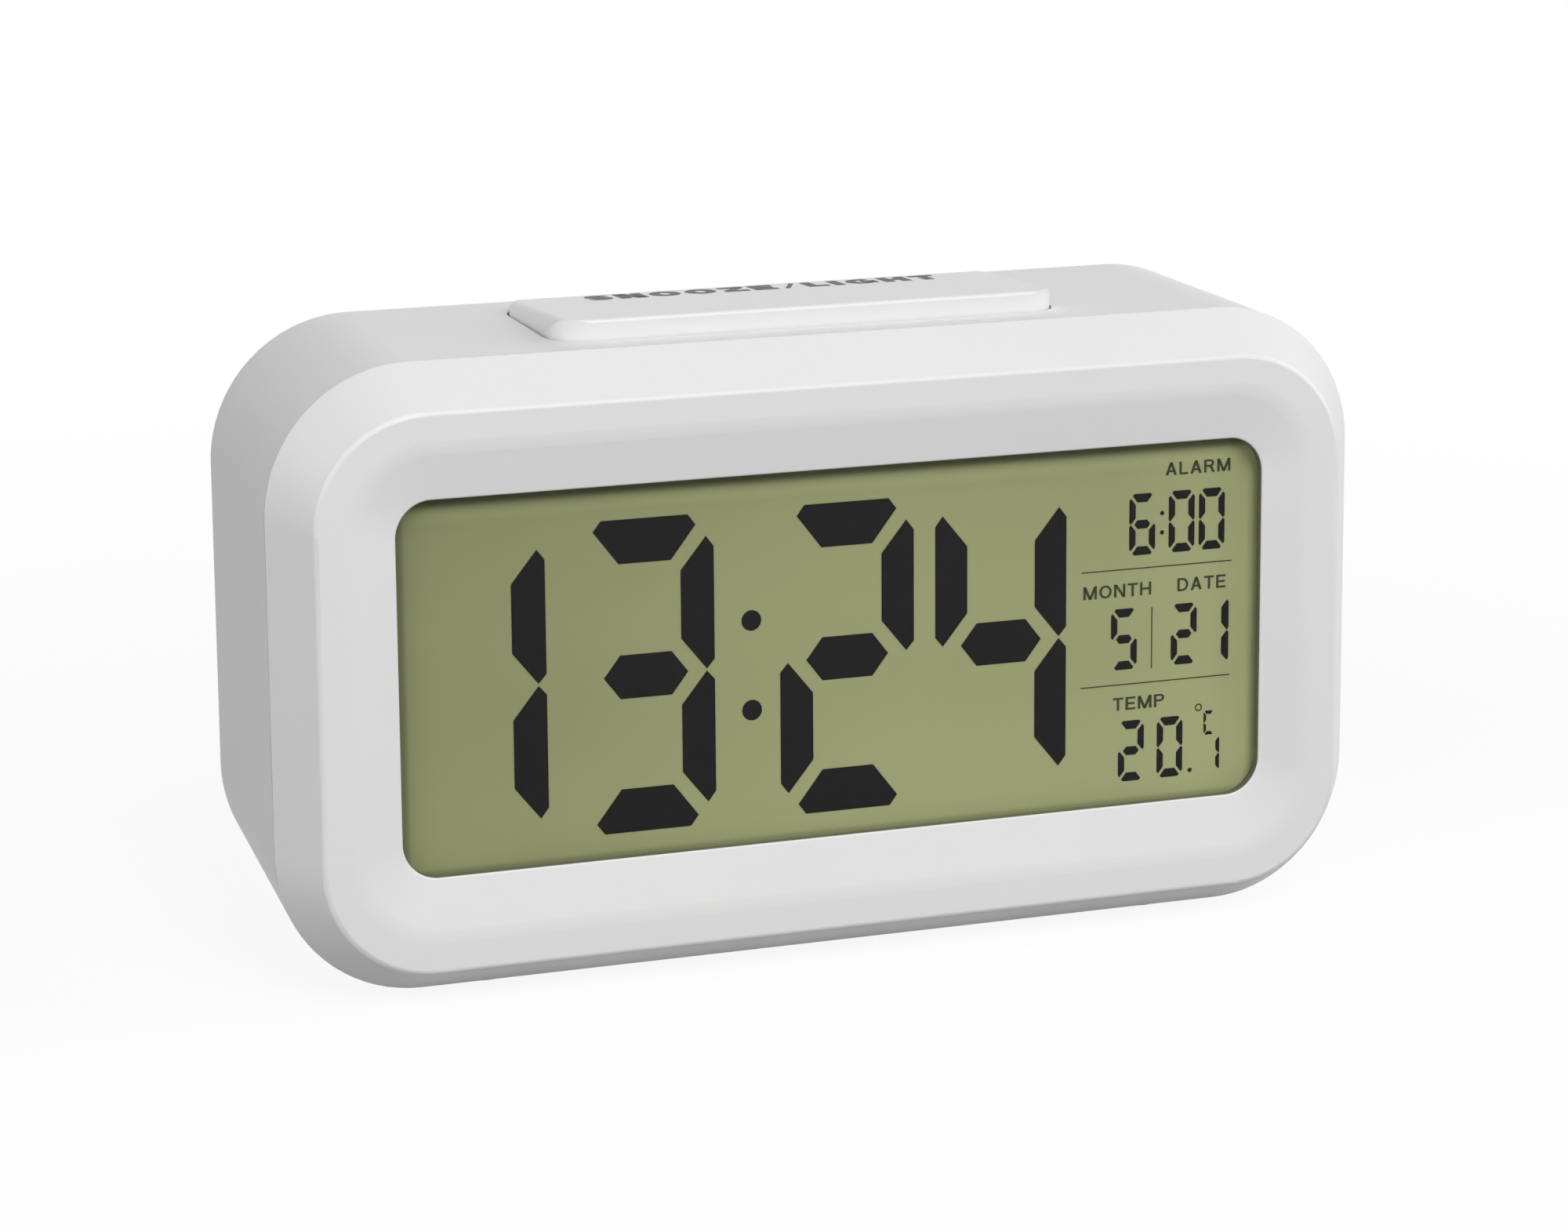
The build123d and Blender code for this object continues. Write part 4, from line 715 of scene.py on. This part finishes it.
# %% Bar words
BAR_TILT = math.radians(4.14)
BAR_EDGE_RUN = 0.42 * MM
BAR_WORDS = ("SNOOZE/LIGHT", -21.9, 22.8, 15.3, 3.8)
BAR_STROKE = 0.26
BAR_GAP = 0.16
BACK_ALONG_BAR = Vector((0, math.cos(BAR_TILT), -math.sin(BAR_TILT)))
OUT_OF_BAR = Vector((0, math.sin(BAR_TILT), math.cos(BAR_TILT)))
bar_low, bar_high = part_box("snooze_bar")
bar_start = Vector((0, bar_low.y + BAR_EDGE_RUN, bar_high.z))
ON_BAR = frame_matrix(ACROSS, BACK_ALONG_BAR, OUT_OF_BAR, bar_start + PRINT_LIFT * OUT_OF_BAR)
bar_words = bmesh.new()
add_word(bar_words, *BAR_WORDS, BAR_STROKE, BAR_GAP)
bar_ink = finish("bar_ink", (0.03, 0.03, 0.033), 0.5, grain=0.5, mottle=0.1)
raise_print(bar_words, "bar_words", ON_BAR, "snooze_bar", bar_ink)

# %% [markdown]
# ## Floor and light
# The clock stands on a pale floor in soft studio light: a large lamp up in front, one on each side, a low one
# behind and a faint sky. The floor looks white to the camera but keeps the clock's shadow, and it throws back
# less light than it shows. The lamp behind is for the clock's back, so it isn't mirrored in the clock's top.

# %% Floor
FLOOR_RADIUS = 4.0
FLOOR_SIDES = 64
FLOOR_BOUNCE = 0.30
FLOOR_GLOW = 0.90
GLOW_START = 0.12
GLOW_END = 0.32

scene.view_settings.view_transform = "Standard"
ground = bmesh.new()
bmesh.ops.create_circle(ground, cap_ends=True, segments=FLOOR_SIDES, radius=FLOOR_RADIUS)
floor_mesh = bpy.data.meshes.new("floor")
ground.to_mesh(floor_mesh)
ground.free()
floor = bpy.data.objects.new("floor", floor_mesh)
scene.collection.objects.link(floor)


def seen_directly(tree):
    """1 for rays from the camera, mirrors and glass, 0 for rays that only carry light."""
    path = tree.nodes.new("ShaderNodeLightPath")
    mirrored = math_node(tree, "MAXIMUM", path.outputs["Is Camera Ray"], path.outputs["Is Glossy Ray"])
    return math_node(tree, "MAXIMUM", mirrored, path.outputs["Is Transmission Ray"])


pale = bpy.data.materials.new("pale_floor")
pale.use_nodes = True
tree = pale.node_tree
tree.nodes.remove(tree.nodes["Principled BSDF"])
output = tree.nodes["Material Output"]
shown = tree.nodes.new("ShaderNodeMixShader")
place = tree.nodes.new("ShaderNodeTexCoord")
away = tree.nodes.new("ShaderNodeVectorMath")
away.operation = "LENGTH"
link(tree, place.outputs["Object"], away.inputs[0])
far = fade(tree, away.outputs["Value"], GLOW_START, GLOW_END)
link(tree, ramp(tree, far, FLOOR_GLOW, 1.0), shown.inputs["Fac"])
white = tree.nodes.new("ShaderNodeBsdfDiffuse")
white.inputs["Color"].default_value = (1, 1, 1, 1)
glow = tree.nodes.new("ShaderNodeEmission")
bounce = tree.nodes.new("ShaderNodeBsdfDiffuse")
bounce.inputs["Color"].default_value = (FLOOR_BOUNCE, FLOOR_BOUNCE, FLOOR_BOUNCE, 1)
either = tree.nodes.new("ShaderNodeMixShader")
link(tree, white.outputs["BSDF"], shown.inputs[1])
link(tree, glow.outputs["Emission"], shown.inputs[2])
link(tree, seen_directly(tree), either.inputs["Fac"])
link(tree, bounce.outputs["BSDF"], either.inputs[1])
link(tree, shown.outputs["Shader"], either.inputs[2])
link(tree, either.outputs["Shader"], output.inputs["Surface"])
floor_mesh.materials.append(pale)

# %% Sky and lamps
SKY = 0.022
LAMPS = [
    ("key_lamp", (0.15, -1.1, 1.05), 1.0, 13.5, True),
    ("left_lamp", (-0.95, -0.71, 0.65), 1.0, 7.1, True),
    ("right_lamp", (1.4, -0.3, 0.6), 1.0, 10.3, True),
    ("back_lamp", (0.3, 1.5, 0.22), 0.4, 8.5, False),
]
LAMP_AIM = Vector((0, 0, 0.037))
world = bpy.data.worlds.new("studio")
scene.world = world
world.use_nodes = True
tree = world.node_tree
sky = tree.nodes["Background"]
strength = math_node(tree, "MULTIPLY_ADD", seen_directly(tree), 1.0 - SKY)
strength.node.inputs[2].default_value = SKY
link(tree, strength, sky.inputs["Strength"])
sky.inputs["Color"].default_value = (1, 1, 1, 1)
for name, place, size, power, mirrored in LAMPS:
    lamp = bpy.data.lights.new(name, "AREA")
    lamp.shape = "DISK"
    lamp.size = size
    lamp.energy = power
    holder = bpy.data.objects.new(name, lamp)
    holder.location = place
    holder.rotation_euler = (Vector(place) - LAMP_AIM).to_track_quat("Z", "Y").to_euler()
    holder.visible_glossy = mirrored
    scene.collection.objects.link(holder)
print("lamps:", [name for name, *_ in LAMPS])

# %% [markdown]
# ## Camera
# The camera stands to the left of the clock and above it, with a long lens, as the photograph was taken. Its
# place and its turn were found by fitting the outlines of the window, the ridge and the case.

# %% Camera
CAMERA_PLACE = Vector((-202.8, -521.2, 186.3)) * MM
CAMERA_TURN = (75.014, -0.652, -21.068)
LENS_LENGTH = 110.9
view = bpy.data.cameras.new("camera")
view.sensor_fit = "HORIZONTAL"
view.sensor_width = 36.0
view.lens = LENS_LENGTH
view.clip_start = 0.01
camera = bpy.data.objects.new("camera", view)
camera.location = CAMERA_PLACE
camera.rotation_euler = Euler([math.radians(angle) for angle in CAMERA_TURN])
scene.collection.objects.link(camera)
scene.camera = camera
print("camera", round(camera.location.length, 3), "m from the origin")
